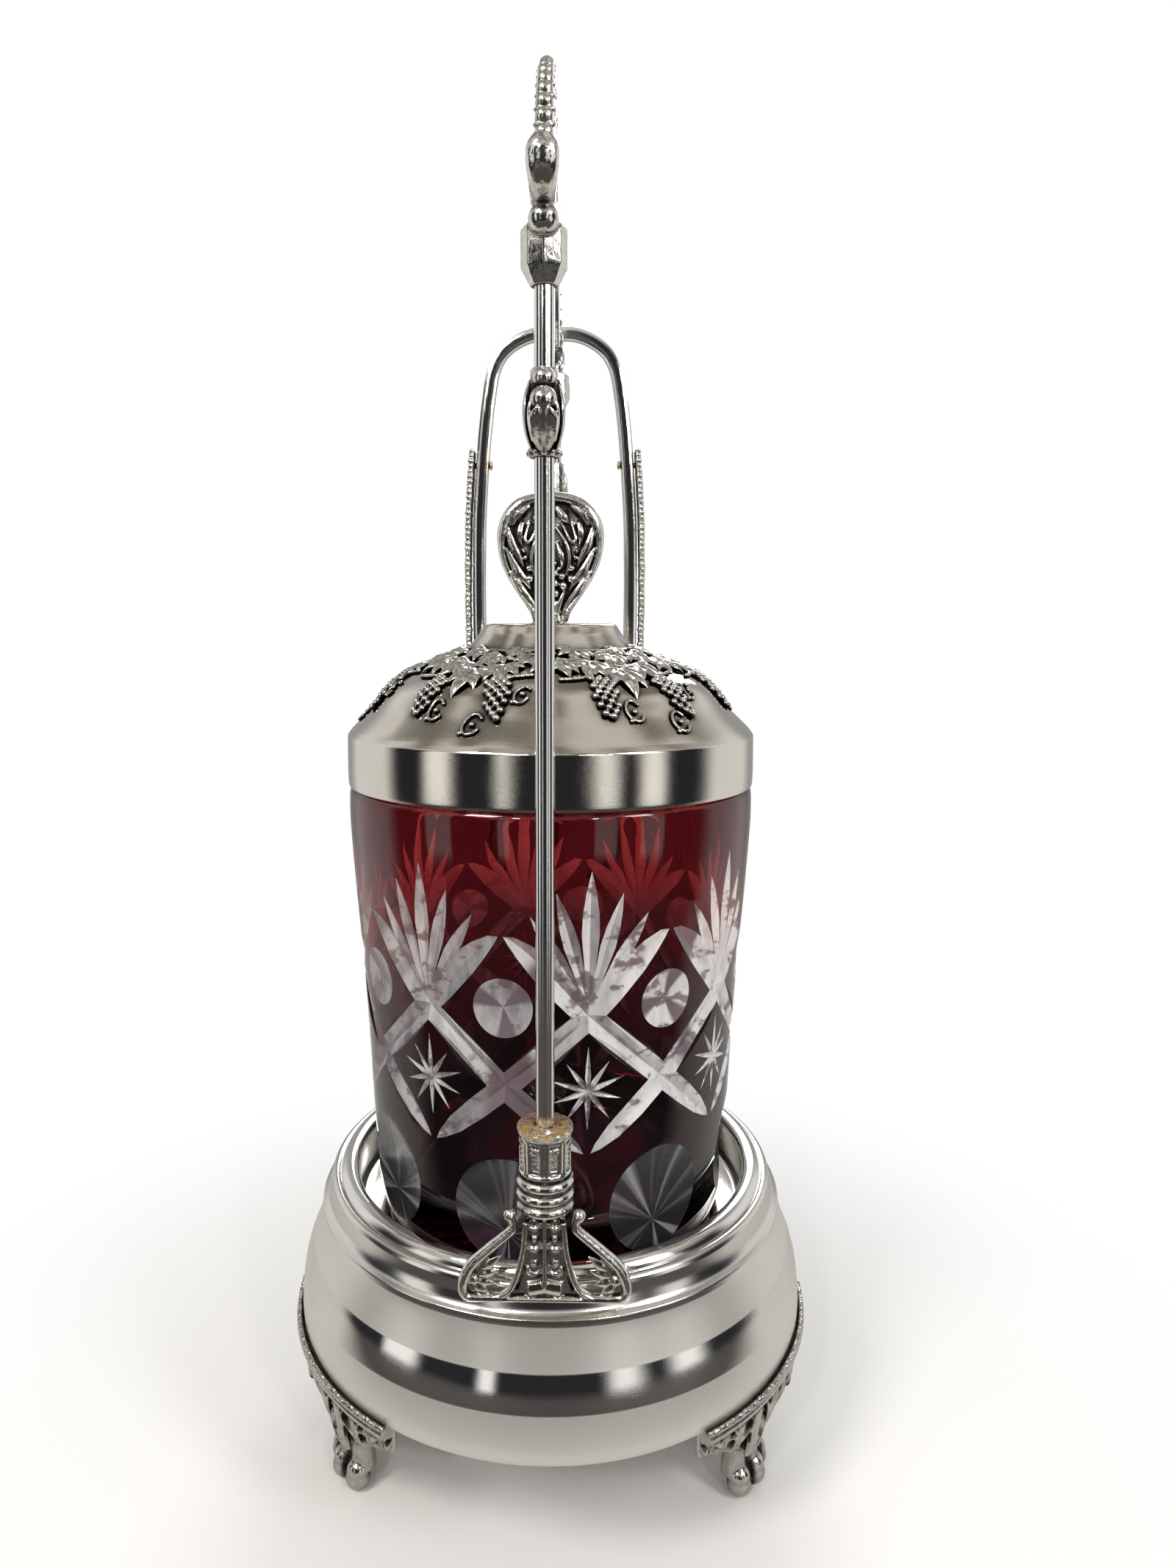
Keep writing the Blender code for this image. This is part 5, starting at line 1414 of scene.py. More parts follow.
for index in range(COLLAR_REPEATS):
    middle = (index - (COLLAR_REPEATS - 1) / 2) * COLLAR_PITCH
    stem([(middle + x, r, 0.2, 0.27) for x, r in COLLAR_SCROLL], 1, 4, 7)
wreath = cast("lid_wreath", wreath_work, cast_silver, WREATH_GRAIN, 0.42)

# %% Repeat the wreath round the lid
wreath_join = bmesh.new()
for repeat in range(WREATH_REPEATS):
    sixth = wreath.data.copy()
    sixth.transform(Matrix.Rotation(WREATH_TURN + math.tau * repeat / WREATH_REPEATS, 4, "Z"))
    wreath_join.from_mesh(sixth)
    bpy.data.meshes.remove(sixth)
wreath_join.to_mesh(wreath.data)
wreath_join.free()
wreath.data.shade_smooth()
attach(wreath, "lid")
print("wreath:", len(wreath.data.polygons), "faces")

# %% [markdown]
# ## Finial
#
# The finial is a flat teardrop, cast the same on both faces: a rounded rim, a
# pair of hooked leaves at the top, long slanting leaves low at the sides, a
# hollow almond beside the middle and a bunch of grapes below. A stud under it
# goes through the lid. Its tables are for the right-hand half of one face: edge
# points are across, up and a radius, a leaf's first number is how thick it lies.

# %% Finial
FINIAL_GRAIN = 0.2 * MM
FINIAL_EDGE = (
    (0.0, 28.0, 1.25), (3.8, 27.5, 1.35), (7.0, 26.2, 1.45), (9.4, 23.6, 1.45), (10.6, 20.4, 1.35),
    (10.9, 17.6, 1.05), (10.4, 14.4, 0.95), (9.1, 11.2, 0.95), (7.3, 8.2, 0.95), (5.4, 5.4, 0.95),
    (3.7, 2.9, 1.0), (2.9, 1.0, 1.1),
)
FINIAL_FIELD = ((0, 2, 27), (2.6, 3, 26.5), (5.2, 6, 26), (7.6, 10, 24.5), (9.4, 13, 22))
FINIAL_LEAVES = (
    (0.55, (10.0, 16.8, 0.5, 0.35), (7.6, 12.0, 0.7, 1.0), (5.6, 9.4, 0.5, 0.75), (4.3, 7.4, 0.2, 0.2)),
    (0.55, (9.0, 11.6, 0.4, 0.35), (6.6, 7.6, 0.7, 1.0), (4.2, 4.4, 0.5, 0.8), (2.6, 2.0, 0.2, 0.35)),
    (0.55, (9.6, 21.4, 0.4, 0.4), (8.6, 17.6, 0.7, 0.95), (7.0, 14.6, 0.5, 0.7), (6.0, 12.4, 0.2, 0.2)),
    (0.55, (4.6, 26.0, 0.4, 0.5), (7.4, 24.0, 0.7, 0.85), (8.6, 21.6, 0.4, 0.3)),
    (0.55, (1.4, 25.8, 0.1, 0.7), (3.0, 23.4, 0.7, 0.95), (4.6, 22.2, -0.3, 0.4)),
    (1, (2.4, 22.6, -0.3, 0.32), (4.4, 18.4, 0.7, 0.4), (5.3, 17.9, 0.7, 0.4), (5.7, 18.8, 0.7, 0.4),
     (4.9, 22.0, -0.3, 0.32)),
    (0.55, (6.4, 22.4, 0.0, 0.6), (6.9, 19.8, 0.6, 0.7), (6.6, 17.2, -0.4, 0.3)),
    (1, (1.2, 21.4, -0.2, 0.35), (3.6, 17.6, 0.7, 0.42), (4.3, 14.0, 0.7, 0.42),
     (3.6, 10.6, -0.2, 0.35)),
    (0.55, (1.5, 18.0, -0.3, 0.3), (2.5, 14.9, 0.5, 0.75), (2.8, 12.2, -0.3, 0.3)),
    (0.55, (1.3, 2.0, 0.4, 0.75), (2.3, 5.0, 0.5, 0.6), (3.2, 7.4, 0.4, 0.3)),
)
FINIAL_GRAPES = (
    (1.1, 6.6, 1.0), (2.9, 8.3, 1.0), (1.0, 8.9, 0.95), (2.6, 10.4, 0.9), (4.6, 9.9, 0.9),
    (0.9, 11.1, 0.85), (0.8, 4.5, 0.85), (0.9, 13.3, 0.7), (4.9, 12.2, 0.75), (1.9, 12.1, 0.6),
    (5.6, 14.6, 0.6), (6.0, 16.0, 0.5),
)
FINIAL_DEPTH = 1.15
STUD = (
    (1.8, 2.7), (0.5, 3.6), (0.5, 3.6), (0.0, 4.5), (0.0, 4.5), (-0.4, 4.5), (-0.4, 1.5), (-0.4, 1.5),
    (-5.9, 1.5),
)
finial_foot = low("finial").z + 6 * MM


def on_finial(face, side=1):
    """The workspace on the front (1) or back (-1) face, for its right or left (-1) half."""
    def place(across, up, out):
        """Out counts from the face, which stands off the middle plane."""
        return side * across * MM, -face * (out + FINIAL_DEPTH) * MM, finial_foot + up * MM
    return place


finial_work = bmesh.new()
for side in (-1, 1):
    rim = [(x, z, -FINIAL_DEPTH, r * 1.05) for x, z, r in FINIAL_EDGE]
    add_stem(finial_work, on_finial(1, side), rim, 1.55, 5, 12)
for x, low_z, high_z in FINIAL_FIELD:
    for side in (-1, 1):
        field = [(x, z, -FINIAL_DEPTH, 1.75) for z in (low_z, high_z)]
        add_stem(finial_work, on_finial(1, side), field, 0.5, 1, 8)
for face in (-1, 1):
    for side in (-1, 1):
        stem, ball, *_ = tools_on(finial_work, on_finial(face, side))
        for thick, *knots in FINIAL_LEAVES:
            stem(knots, thick, 5, 8)
        for x, z, r in FINIAL_GRAPES:
            ball((x, z, 0.9 * r - 0.5), r)
add_stem(finial_work, on_finial(1), [(0, z, -FINIAL_DEPTH, r) for z, r in STUD], 1, 2, 28)
finial = cast("finial_leaf", finial_work, cast_silver, FINIAL_GRAIN)
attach(finial, "lid")
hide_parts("finial")

# %% [markdown]
# ## Handle
#
# The handle's arch is an openwork hoop: two rails with a vine between them, and
# along its outer edge a row of scale-like beads that shrink towards the crown.
# At each shoulder it ends in a smooth scroll, a ball and an eight-sided block
# into which the post goes.

# %% Rails of the arch
ARCH_GRAIN = 0.24 * MM
ARCH_HALF_SPAN = 54.0
ARCH_RISE = 38.7
ARCH_LENGTH = 150
BLOCK_LOW = low("arch").z / MM
BLOCK_TOP = BLOCK_LOW + 9.6
ARCH_SPRING = BLOCK_TOP + 4.7
RAILS = ((2.6, 1.45, 1.1), (11.6, 1.35, 1.15))
RAIL_STEPS = 40
post_mm = post_radius / MM


def on_arch(along, inset, out):
    """Bends the workspace along the hoop: along in mm, inset from its outer edge."""
    angle = math.pi * (1 - along / ARCH_LENGTH)
    y = (ARCH_HALF_SPAN - inset) * math.cos(angle)
    z = ARCH_SPRING + (ARCH_RISE - inset) * math.sin(angle)
    return out * MM, y * MM, z * MM


arch_work = bmesh.new()
stem, ball, *_ = tools_on(arch_work, on_arch)
for inset, radius, flatness in RAILS:
    rail = [(ARCH_LENGTH * k / RAIL_STEPS, inset, 0, radius) for k in range(RAIL_STEPS + 1)]
    stem(rail, flatness, 1, 14)
print("arch:", len(RAILS), "rails, sprung at", round(ARCH_SPRING, 1), "mm")

# %% Vine of the arch
VINE_WAVES = 9
WAVE_STEPS = 8
VINE_START, VINE_SPAN = 0.03, 0.94
VINE_MIDDLE, VINE_SWING = 6.7, 2.9
ARCH_FACE = 0.75
VINE_GRAPES = ((5.6, 1.6), (6.4, 2.5), (5.2, 2.8))


def on_arch_face(face):
    """The workspace on the front or back (-1) of the openwork."""
    def place(along, inset, out):
        """Out counts from the vine's surface."""
        return on_arch(along, inset, face * (out + ARCH_FACE))
    return place


vine = []
for k in range(VINE_WAVES * WAVE_STEPS + 1):
    way = k / (VINE_WAVES * WAVE_STEPS)
    inset = VINE_MIDDLE + VINE_SWING * math.cos(math.tau * VINE_WAVES * way)
    vine.append((ARCH_LENGTH * (VINE_START + VINE_SPAN * way), inset, 0, 0.85))
stem(vine, 1.1, 1, 8)
for half_wave in range(VINE_WAVES * 2):
    start = ARCH_LENGTH * (VINE_START + VINE_SPAN * (half_wave + 0.25) / (VINE_WAVES * 2))
    up = 1 if half_wave % 2 else -1
    for face in (-1, 1):
        _, face_ball, leaf, _ = tools_on(arch_work, on_arch_face(face))
        leaf((start, VINE_MIDDLE + up * 1.2), (start + 3.4, VINE_MIDDLE + up * 3.4), 2.2, 0.2, 3, 0.42)
        leaf((start + 4.6, VINE_MIDDLE), (start + 1.6, VINE_MIDDLE - up * 2.4), 1.9, 0.15, 3, 0.42)
        for along, inset in VINE_GRAPES:
            face_ball((start + along, VINE_MIDDLE + up * inset, 0.3), 0.68)
print("vine of", VINE_WAVES, "waves through", len(vine), "knots")

# %% Scales along the outer edge
BEADS_PER_SIDE = 15
BEAD_START, BEAD_PITCH = 0.083, 0.0286
BEAD_LARGE, BEAD_SHRINK = 1.75, 0.65
SCALE_ANGLES = np.linspace(-1.5, 1.5, 7)

for lean in (1, -1):
    for k in range(BEADS_PER_SIDE):
        share = BEAD_START + BEAD_PITCH * k
        size = BEAD_LARGE - BEAD_SHRINK * k / (BEADS_PER_SIDE - 1)
        along = ARCH_LENGTH * (share if lean == 1 else 1 - share)
        ball((along, 1.15, 0), size, 1, 3)
        scale = [(along - lean * (1.5 + 0.5 * math.cos(a)), 1.7 - 0.75 * math.cos(a),
                  size * 1.05 * math.sin(a), 0.34) for a in SCALE_ANGLES]
        stem(scale, 1, 2, 7)
print(BEADS_PER_SIDE * 2, "scales piled")

# %% [markdown]
# The shoulder's tables give a distance from the stand's axis, a height over the
# block's top, and a radius. The last stem is the small curl inside the hoop.

# %% Shoulders, blocks and scrolls
BLOCK_SIZE = 4.1
SIDEWAYS = (1, 0, 0)
SHOULDER_STEMS = (
    (1.3, (48.0, 2.6, 1.7), (55.0, 2.9, 1.6), (59.0, 3.9, 1.85), (60.7, 6.2, 2.15), (61.0, 8.4, 2.0),
     (61.1, 10.1, 1.1)),
    (1.3, (47.0, 5.2, 1.9), (55.0, 5.4, 2.0), (59.6, 5.8, 1.9)),
    (1.3, (46.5, 7.8, 1.9), (53.0, 8.0, 1.9), (59.4, 8.0, 1.9)),
    (1.0, (49.0, 9.4, 1.8), (52.6, 10.9, 1.7), (54.2, 9.2, 1.1)),
)
SHOULDER_BALLS = ((50.0, 9.6, 1.1), (48.6, 6.4, 1.2), (49.0, 12.6, 1.0), (49.0, 3.6, 1.0))
BLOCK = (
    (BLOCK_LOW, 2.45), (BLOCK_LOW, 2.45), (BLOCK_LOW + 3, BLOCK_SIZE), (BLOCK_LOW + 3, BLOCK_SIZE),
    (BLOCK_TOP - 0.4, BLOCK_SIZE), (BLOCK_TOP - 0.4, BLOCK_SIZE), (BLOCK_TOP, BLOCK_SIZE - 0.5),
)


def on_shoulder(side):
    """The workspace of one shoulder: across is sideways, up is height, out is outwards."""
    def place(across, up, out):
        """Out counts from the stand's axis."""
        return across * MM, side * out * MM, up * MM
    return place


for side in (-1, 1):
    stem, ball, *_ = tools_on(arch_work, on_shoulder(side))
    stem([(0, z, post_mm, r) for z, r in BLOCK], 1.0, 2, 8, SIDEWAYS)
    ball((0, BLOCK_TOP - 0.1, post_mm + 3.7), 2.65, 1, 3)
    ball((0, BLOCK_TOP + 1.0, post_mm - 1.2), 2.2, 1, 3)
    for flatness, *knots in SHOULDER_STEMS:
        stem([(0, BLOCK_TOP + z, y, r) for y, z, r in knots], flatness, 5, 14, SIDEWAYS)
    for face in (-1, 1):
        for y, z, r in SHOULDER_BALLS:
            ball((face * 1.3, BLOCK_TOP + z, y), r)
arch = cast("arch_casting", arch_work, cast_silver, ARCH_GRAIN)
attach(arch, "frame")
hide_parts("arch")

# %% [markdown]
# ## Knops on the posts
#
# Halfway up each post sits a small casting: a sleeve, and outside it a bud with
# a polished round tip that leans away from the stand, held by one broad leaf
# with a dark groove down its middle, and a folded leaf on each side. Its knots
# are sideways, height, outwards from the post, and a radius.

# %% Knops
HOOK_GRAIN = 0.18 * MM
HOOK_LOW = low("post_hook_front").z / MM
OUTWARD = (0, 0, 1)
KNOP_SLEEVE = (
    (0, 0.1, 0, 2.7), (0, 1.6, 0, 2.9), (0, 1.9, 0, 2.5), (0, 7.0, 0, 2.7), (0, 14.9, 0, 2.45),
)
KNOP_BUD = (
    (0, 1.6, 2.2, 0.9), (0, 3.4, 3.8, 1.6), (0, 5.6, 5.2, 2.0), (0, 7.4, 5.9, 2.2), (0, 8.6, 6.1, 2.1),
)
KNOP_BEADS, KNOP_BEAD_RING = 12, 2.7
KNOP_LEAVES = (
    (0.5, OUTWARD, (0.45, 0.9, 3.2, 0.5), (1.15, 2.9, 5.1, 1.05), (1.3, 4.9, 6.9, 1.15),
     (1.2, 6.2, 7.7, 0.9), (0.9, 7.1, 8.2, 0.25)),
    (0.45, SIDEWAYS, (2.0, 0.9, 1.4, 0.5), (2.8, 3.8, 3.0, 1.2), (3.1, 7.2, 4.2, 1.35),
     (2.9, 10.2, 3.6, 0.9), (2.3, 12.0, 2.4, 0.25)),
    (0.6, SIDEWAYS, (1.9, 2.2, 4.4, 0.4), (2.3, 4.8, 5.9, 0.75), (2.3, 7.2, 6.8, 0.7),
     (2.0, 9.0, 6.6, 0.2)),
    (0.5, SIDEWAYS, (2.6, 6.6, 0.6, 0.9), (3.0, 10.0, 0.9, 1.1), (2.5, 13.0, 0.8, 0.4)),
)


def on_knop(side):
    """The workspace of one knop: sideways, height, outwards from the post."""
    def place(across, up, out):
        """Out counts from the post's axis, away from the stand."""
        return across * MM, side * (post_mm + out) * MM, (HOOK_LOW + up) * MM
    return place


for place_name, side in (("front", -1), ("back", 1)):
    knop_work = bmesh.new()
    stem, ball, *_ = tools_on(knop_work, on_knop(side))
    stem(KNOP_SLEEVE, 1.0, 5, 12)
    for k in range(KNOP_BEADS):
        turn = math.tau * k / KNOP_BEADS
        ball((KNOP_BEAD_RING * math.sin(turn), 0.8, KNOP_BEAD_RING * math.cos(turn)), 0.6)
    stem(KNOP_BUD, 1.0, 5, 12)
    ball((0, 8.5, 6.2), 2.4, 1, 3)
    ball((0, 12.8, 2.7), 2.05, 1, 3)
    for hand in (-1, 1):
        for flatness, out, *knots in KNOP_LEAVES:
            stem([(hand * x, z, y, r) for x, z, y, r in knots], flatness, 5, 12, out)
    knop = cast("knop_" + place_name, knop_work, cast_silver, HOOK_GRAIN)
    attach(knop, "frame")
    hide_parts("post_hook_" + place_name)

# %% [markdown]
# ## Post sockets
#
# Each post stands in a cast socket that looks like a small column: an eight-sided
# cup with ribbed panels, three rings, and below them a front like a flared gate,
# with scrolled arms that hold a fan of leaves at each corner. Old solder and
# polish have left a brown crust round the rod.

# %% Socket finish with its crust
CRUST_START, CRUST_END = socket_top - 1.0 * MM, socket_top - 0.1 * MM
CRUST_EDGE, BROWN_EDGE = (0.38, 0.56), (0.40, 0.70)
CRUST_BROWN, CRUST_YELLOW = (0.04, 0.014, 0.005), (0.46, 0.25, 0.05)
CRUST_ROUGHNESS = 0.75

socket_silver, tree, shader = new_finish("socket_silver")
# tarnish and painted shade in the socket's hollows and beside neighbouring pieces
dark = use_group(tree, tarnish, Reach=1.6 * MM, Depth=1.25)["Mask"]
worn = use_group(tree, ripples, Size=900, Lift=1.0)
tint = mix_colour(tree, worn["Value"], (0.88, 0.86, 0.81), (0.70, 0.67, 0.60))
near_top = smooth_range(tree, split_axes(tree, object_place(tree))[2], CRUST_START, CRUST_END)
grains = add_noise(tree, Scale=900, Detail=4).outputs["Fac"]
crust = math_node(tree, "MULTIPLY", near_top, smooth_range(tree, grains, *CRUST_EDGE))
brown = mix_colour(tree, smooth_range(tree, grains, *BROWN_EDGE), CRUST_BROWN, CRUST_YELLOW)
silver = mix_colour(tree, dark, tint, DARK_TARNISH)
rough = math_node(tree, "MULTIPLY_ADD", worn["Value"], CAST_WEAR, CAST_GLOSS)
rough = math_node(tree, "MULTIPLY_ADD", dark, TARNISH_DULL, rough)
crust_rough = math_node(tree, "MULTIPLY", crust, CRUST_ROUGHNESS)
feed(tree, shader, Base_Color=mix_colour(tree, crust, silver, brown),
     Roughness=math_node(tree, "MAXIMUM", rough, crust_rough),
     Metallic=math_node(tree, "SUBTRACT", 1, crust))
add_bump(tree, shader, math_node(tree, "ADD", worn["Height"], crust), 0.12 * MM)
print("finish:", socket_silver.name)

# %% Cup of the socket
SOCKET_GRAIN = 0.2 * MM
SOCKET_HEIGHT = 30.4
CUP_RADIUS = 5
CUP = (
    (0.02, 4.0), (0.02, 4.0), (13.4, 4.0), (13.4, 4.6), (21.6, 4.75), (21.6, 4.75), (28.6, 4.95),
    (28.6, 4.95),
)
CUP_LIP = ((28.9, 5.0), (28.9, 5.0), (29.3, 5.5), (29.3, 5.5), (30.2, 5.5), (30.2, 5.5), (30.4, 5.2))
CUP_RINGS = (
    (19.4, 4.65, 1.15), (16.8, 4.65, 1.15), (14.3, 4.6, 1.15), (28.5, 4.75, 0.42), (21.5, 4.75, 0.55),
)
RING_STEPS = 48
FACETS = 8
PANEL_EDGE = 1.45
PANEL_TOP = (-1.4, -0.7, 0, 0.7, 1.4)
RIBS, RIB_LOW, RIB_PITCH, RIB_HALF = 5, 22.6, 0.92, 0.95
pad_low = socket_top / MM - SOCKET_HEIGHT


def socket_front(across, up, out):
    """Workspace of the front plate: sideways, height over the pad, outwards from the post."""
    return across * MM, -(post_mm + out) * MM, (pad_low + up) * MM


def socket_round(across, up, out):
    """Workspace wrapped round the cup: across in mm at its radius."""
    turn = across / CUP_RADIUS
    return out * math.sin(turn) * MM, -(post_mm + out * math.cos(turn)) * MM, (pad_low + up) * MM


socket_work = bmesh.new()
stem, ball, *_ = tools_on(socket_work, socket_front)
round_stem = partial(add_stem, socket_work, socket_round)
stem([(0, z, 0, r) for z, r in CUP], 1, 2, FACETS)
stem([(0, z, 0, r) for z, r in CUP_LIP], 1, 2, RING_STEPS)
circle = [CUP_RADIUS * math.tau * k / RING_STEPS for k in range(RING_STEPS + 1)]
for z, reach, radius in CUP_RINGS:
    round_stem([(x, z, reach, radius) for x in circle], 1, 1, 12)
for facet in range(FACETS):
    centre = CUP_RADIUS * math.tau * (facet + 0.5) / FACETS
    for edge in (-PANEL_EDGE, PANEL_EDGE):
        round_stem([(centre + edge, 21.6, 4.62, 0.52), (centre + edge, 28.4, 4.78, 0.52)], 0.8, 1, 8)
    round_stem([(centre + x, 27.3 - x * x * 0.5, 4.75, 0.34) for x in PANEL_TOP], 1, 2, 7)
    for rib in range(RIBS):
        z = RIB_LOW + RIB_PITCH * rib
        round_stem([(centre + x, z, 4.55, 0.24) for x in (-RIB_HALF, RIB_HALF)], 1, 1, 7)
print("cup with", FACETS, "panels and", len(CUP_RINGS), "rings piled")

# %% [markdown]
# The gate below the cup is the same on both sides of its middle, so its tables
# are for the right-hand half: sideways, height over the pad, and a radius. All of
# it lies on a plate that stands PLATE_OUT off the post's axis.

# %% Gate of the socket
PLATE_OUT = 4.25
ARM = (
    (6.7, 13.9, 1.1), (6.0, 12.2, 0.85), (6.2, 11.0, 0.95), (8.2, 9.1, 1.0), (12.0, 5.7, 1.05),
    (14.4, 3.2, 1.15), (15.7, 0.2, 1.15), (15.9, -2.0, 1.05), (15.2, -3.1, 0.95), (13.6, -3.3, 0.8),
    (7.5, -3.35, 0.75),
)
LEG = (
    (3.7, 12.6, 0.62), (3.8, 9.5, 0.62), (4.3, 5.5, 0.62), (5.4, 1.2, 0.65), (6.9, -1.8, 0.68),
    (9.6, -3.5, 0.6),
)
LEAF_TIPS = ((8.4, 5.4), (8.7, 2.4), (9.6, -0.6), (11.0, -2.7))
DROPS = ((12.6, 1.25), (8.4, 1.35), (3.4, 1.5))
DROP_ANGLES = np.linspace(math.pi, math.tau, 7)
BACKING = ((1.9, 12.6, 1.7), (2.1, 6.0, 2.0), (2.6, 0.0, 2.7), (3.0, -2.6, 3.0))
SILL = ((0.2, -1.0, 1.6), (3.2, -1.5, 1.75))
MIDDLE_RIB = (
    (0, 13.0, PLATE_OUT + 0.2, 0.5), (0, 6.0, PLATE_OUT + 0.3, 0.5), (0, -1.0, PLATE_OUT + 0.4, 0.55),
)
FOOT_RAIL = ((-15.0, -3.55, PLATE_OUT, 0.7), (15.0, -3.55, PLATE_OUT, 0.7))


def on_plate_at(lift, knots):
    """Gives (sideways, height, radius) knots their place out, lifted off the plate."""
    return [(x, z, PLATE_OUT + lift, r) for x, z, r in knots]


for side in (-1, 1):
    half_stem, half_ball, *_ = tools_on(socket_work, mirrored(socket_front, side))
    half_ball((6.7, 13.9, PLATE_OUT), 1.3)
    half_stem(on_plate_at(0, ARM), 1.35, 5, 12)
    half_stem(on_plate_at(0.15, LEG), 1.5, 5, 10)
    for k, (x, z) in enumerate(LEAF_TIPS):
        root = (13.4 + 0.3 * k, 1.6 - 0.6 * k)
        half = ((root[0] + x) / 2, (root[1] + z) / 2 + 0.25)
        half_stem([(*root, PLATE_OUT - 0.2, 0.6), (*half, PLATE_OUT + 0.15, 1.25),
                   (x, z, PLATE_OUT + 0.1, 0.22)], 0.7, 4, 8)
    half_ball((13.9, 0.4, PLATE_OUT), 1.25, 0.9)
    for z, wide in DROPS:
        drop = [(2.0 + wide * math.cos(a), z - 0.2 + wide * math.sin(a) * 1.1, 0.42)
                for a in DROP_ANGLES]
        half_stem(on_plate_at(0.05, drop), 1.1, 2, 8)
        half_ball((2.0, z + 0.5, PLATE_OUT - 0.35), 0.85)
    half_stem(on_plate_at(-0.6, BACKING), 0.32, 3, 8)
    half_stem(on_plate_at(0, SILL), 0.75, 1, 8)
stem(MIDDLE_RIB, 1.6, 2, 8)
stem(FOOT_RAIL, 1.7, 1, 8)
socket = cast("socket_front", socket_work, socket_silver, SOCKET_GRAIN)
back_socket = turned_copy(socket, "socket_back", 180)
for piece, node in ((socket, "bracket_front"), (back_socket, "bracket_back")):
    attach(piece, "frame")
    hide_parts(node)

# %% [markdown]
# ## Feet
#
# Three cast feet carry the base. A stepped flange follows the base's hem; under
# it hangs an apron of overlapping leaf lobes, and the leg is a cluster of folds
# that ends in three round toes. Each foot is cast on its own and soldered on, so
# one is modelled here at the front and turned to its three places.

# %% Flange and apron of a foot
FOOT_GRAIN = 0.24 * MM
HEM_RADIUS = 58.0
FLANGE_ANGLE = 27.5
FLANGE_KNOTS, CRUMBLE_BALLS, APRON_STEMS = 33, 96, 38
FLANGE_RIDGES = (
    (33.0, 61.5, 0.6), (32.0, 61.3, 1.0), (30.6, 60.7, 0.8), (31.95, 59.4, 1.3), (30.2, 59.2, 0.9),
)
CRUMBLE_Z, CRUMBLE_OUT, CRUMBLE_PLAY = 33.4, 61.7, 0.15
APRON_ACROSS = (0, 6, 9, 12, 16, 20, 24, 27.8)
APRON_LOW = (27, 26, 18.8, 19.0, 21.0, 23.0, 24.4, 25.6)


def on_foot(across, up, out):
    """Workspace wrapped round the base: across in mm at the hem, out as a radius."""
    turn = across / HEM_RADIUS
    return out * math.sin(turn) * MM, -out * math.cos(turn) * MM, up * MM


def on_leg(across, up, out):
    """Workspace of the leg, which stands straight."""
    return across * MM, -out * MM, up * MM


foot_work = bmesh.new()
stem, ball, *_ = tools_on(foot_work, on_foot)
half_flange = HEM_RADIUS * math.radians(FLANGE_ANGLE)
flange = np.linspace(-half_flange, half_flange, FLANGE_KNOTS)
for z, reach, radius in FLANGE_RIDGES:
    stem([(x, z, reach, radius) for x in flange], 1, 1, 10)
for k, x in enumerate(np.linspace(-half_flange, half_flange, CRUMBLE_BALLS)):
    z = CRUMBLE_Z + CRUMBLE_PLAY * math.sin(k * 2.3)
    out = CRUMBLE_OUT + CRUMBLE_PLAY * math.sin(k * 1.7)
    ball((x, z, out), 0.38 + 0.14 * math.sin(k * 3.1), 1, 1)
for x in np.linspace(-half_flange + 1, half_flange - 1, APRON_STEMS):
    drop = float(np.interp(abs(x), APRON_ACROSS, APRON_LOW))
    stem([(x, 30.9, 58.1, 1.3), (x, drop, 57.8, 1.0)], 0.8, 1, 8)
print("flange", round(2 * half_flange, 1), "mm wide along the hem")

# %% [markdown]
# A lobe is given by its place across at the top, its tip across and up, its half
# width and how far it stands out. Two folds then cover the seam between the
# inmost lobe and the leg.

# %% Lobes of the apron
LOBES = (
    (25.0, 26.4, 26.0, 1.9, -0.2), (20.6, 22.4, 24.2, 2.3, 0), (15.6, 17.8, 21.6, 2.6, 0.2),
    (10.2, 12.2, 17.4, 2.9, 0.5),
)
VEINS = 4
SEAM_FOLDS = (
    ((4.6, 30.8, 59.4, 1.5), (6.4, 25.4, 59.4, 1.35), (6.0, 19.6, 57.2, 1.2), (4.6, 14.6, 55.2, 0.5)),
    ((1.6, 30.8, 59.6, 1.2), (3.4, 25.4, 59.3, 1.1), (3.2, 20.4, 57.6, 0.9), (2.3, 16.4, 55.6, 0.4)),
)


def pile_lobe(stem, x, tip_x, tip_z, size, lift):
    """A low leaf with raised borders that meet at its tip, a rib, and slanted veins."""
    front = 59.3 + lift
    stem([(x, 31.0, 58.9, size * 0.85), ((x + tip_x) / 2, 26.6, 59.0 + lift, size * 0.95),
          (tip_x, tip_z + 1.8, 58.5 + lift, size * 0.7), (tip_x, tip_z, 58.2, 0.8)], 0.34, 4, 10)
    for edge in (-1, 1):
        low_x = x + (tip_x - x) * 0.75 + edge * size * 0.55
        stem([(x + edge * size * 0.5, 30.6, front, 0.5), (x + edge * size, 26.8, 59.6 + lift, 0.55),
              (low_x, tip_z + 2.4, 59.1 + lift, 0.5), (tip_x, tip_z, 58.0 + lift * 0.5, 0.5)], 1, 4, 8)
    stem([(x, 30.4, front, 0.42), ((x + tip_x) / 2, 26.0, 59.5 + lift, 0.42),
          (tip_x, tip_z + 0.6, 58.4 + lift * 0.5, 0.3)], 1, 3, 7)
    for step in range(VEINS):
        z = 29.6 - (28.0 - tip_z) * step / VEINS
        middle = x + (tip_x - x) * (30.5 - z) / (30.5 - tip_z)
        vein = size * (0.8 - 0.12 * step)
        for edge in (-1, 1):
            stem([(middle, z - 1.1, front, 0.34), (middle + edge * vein, z, front, 0.38)], 1, 1, 6)


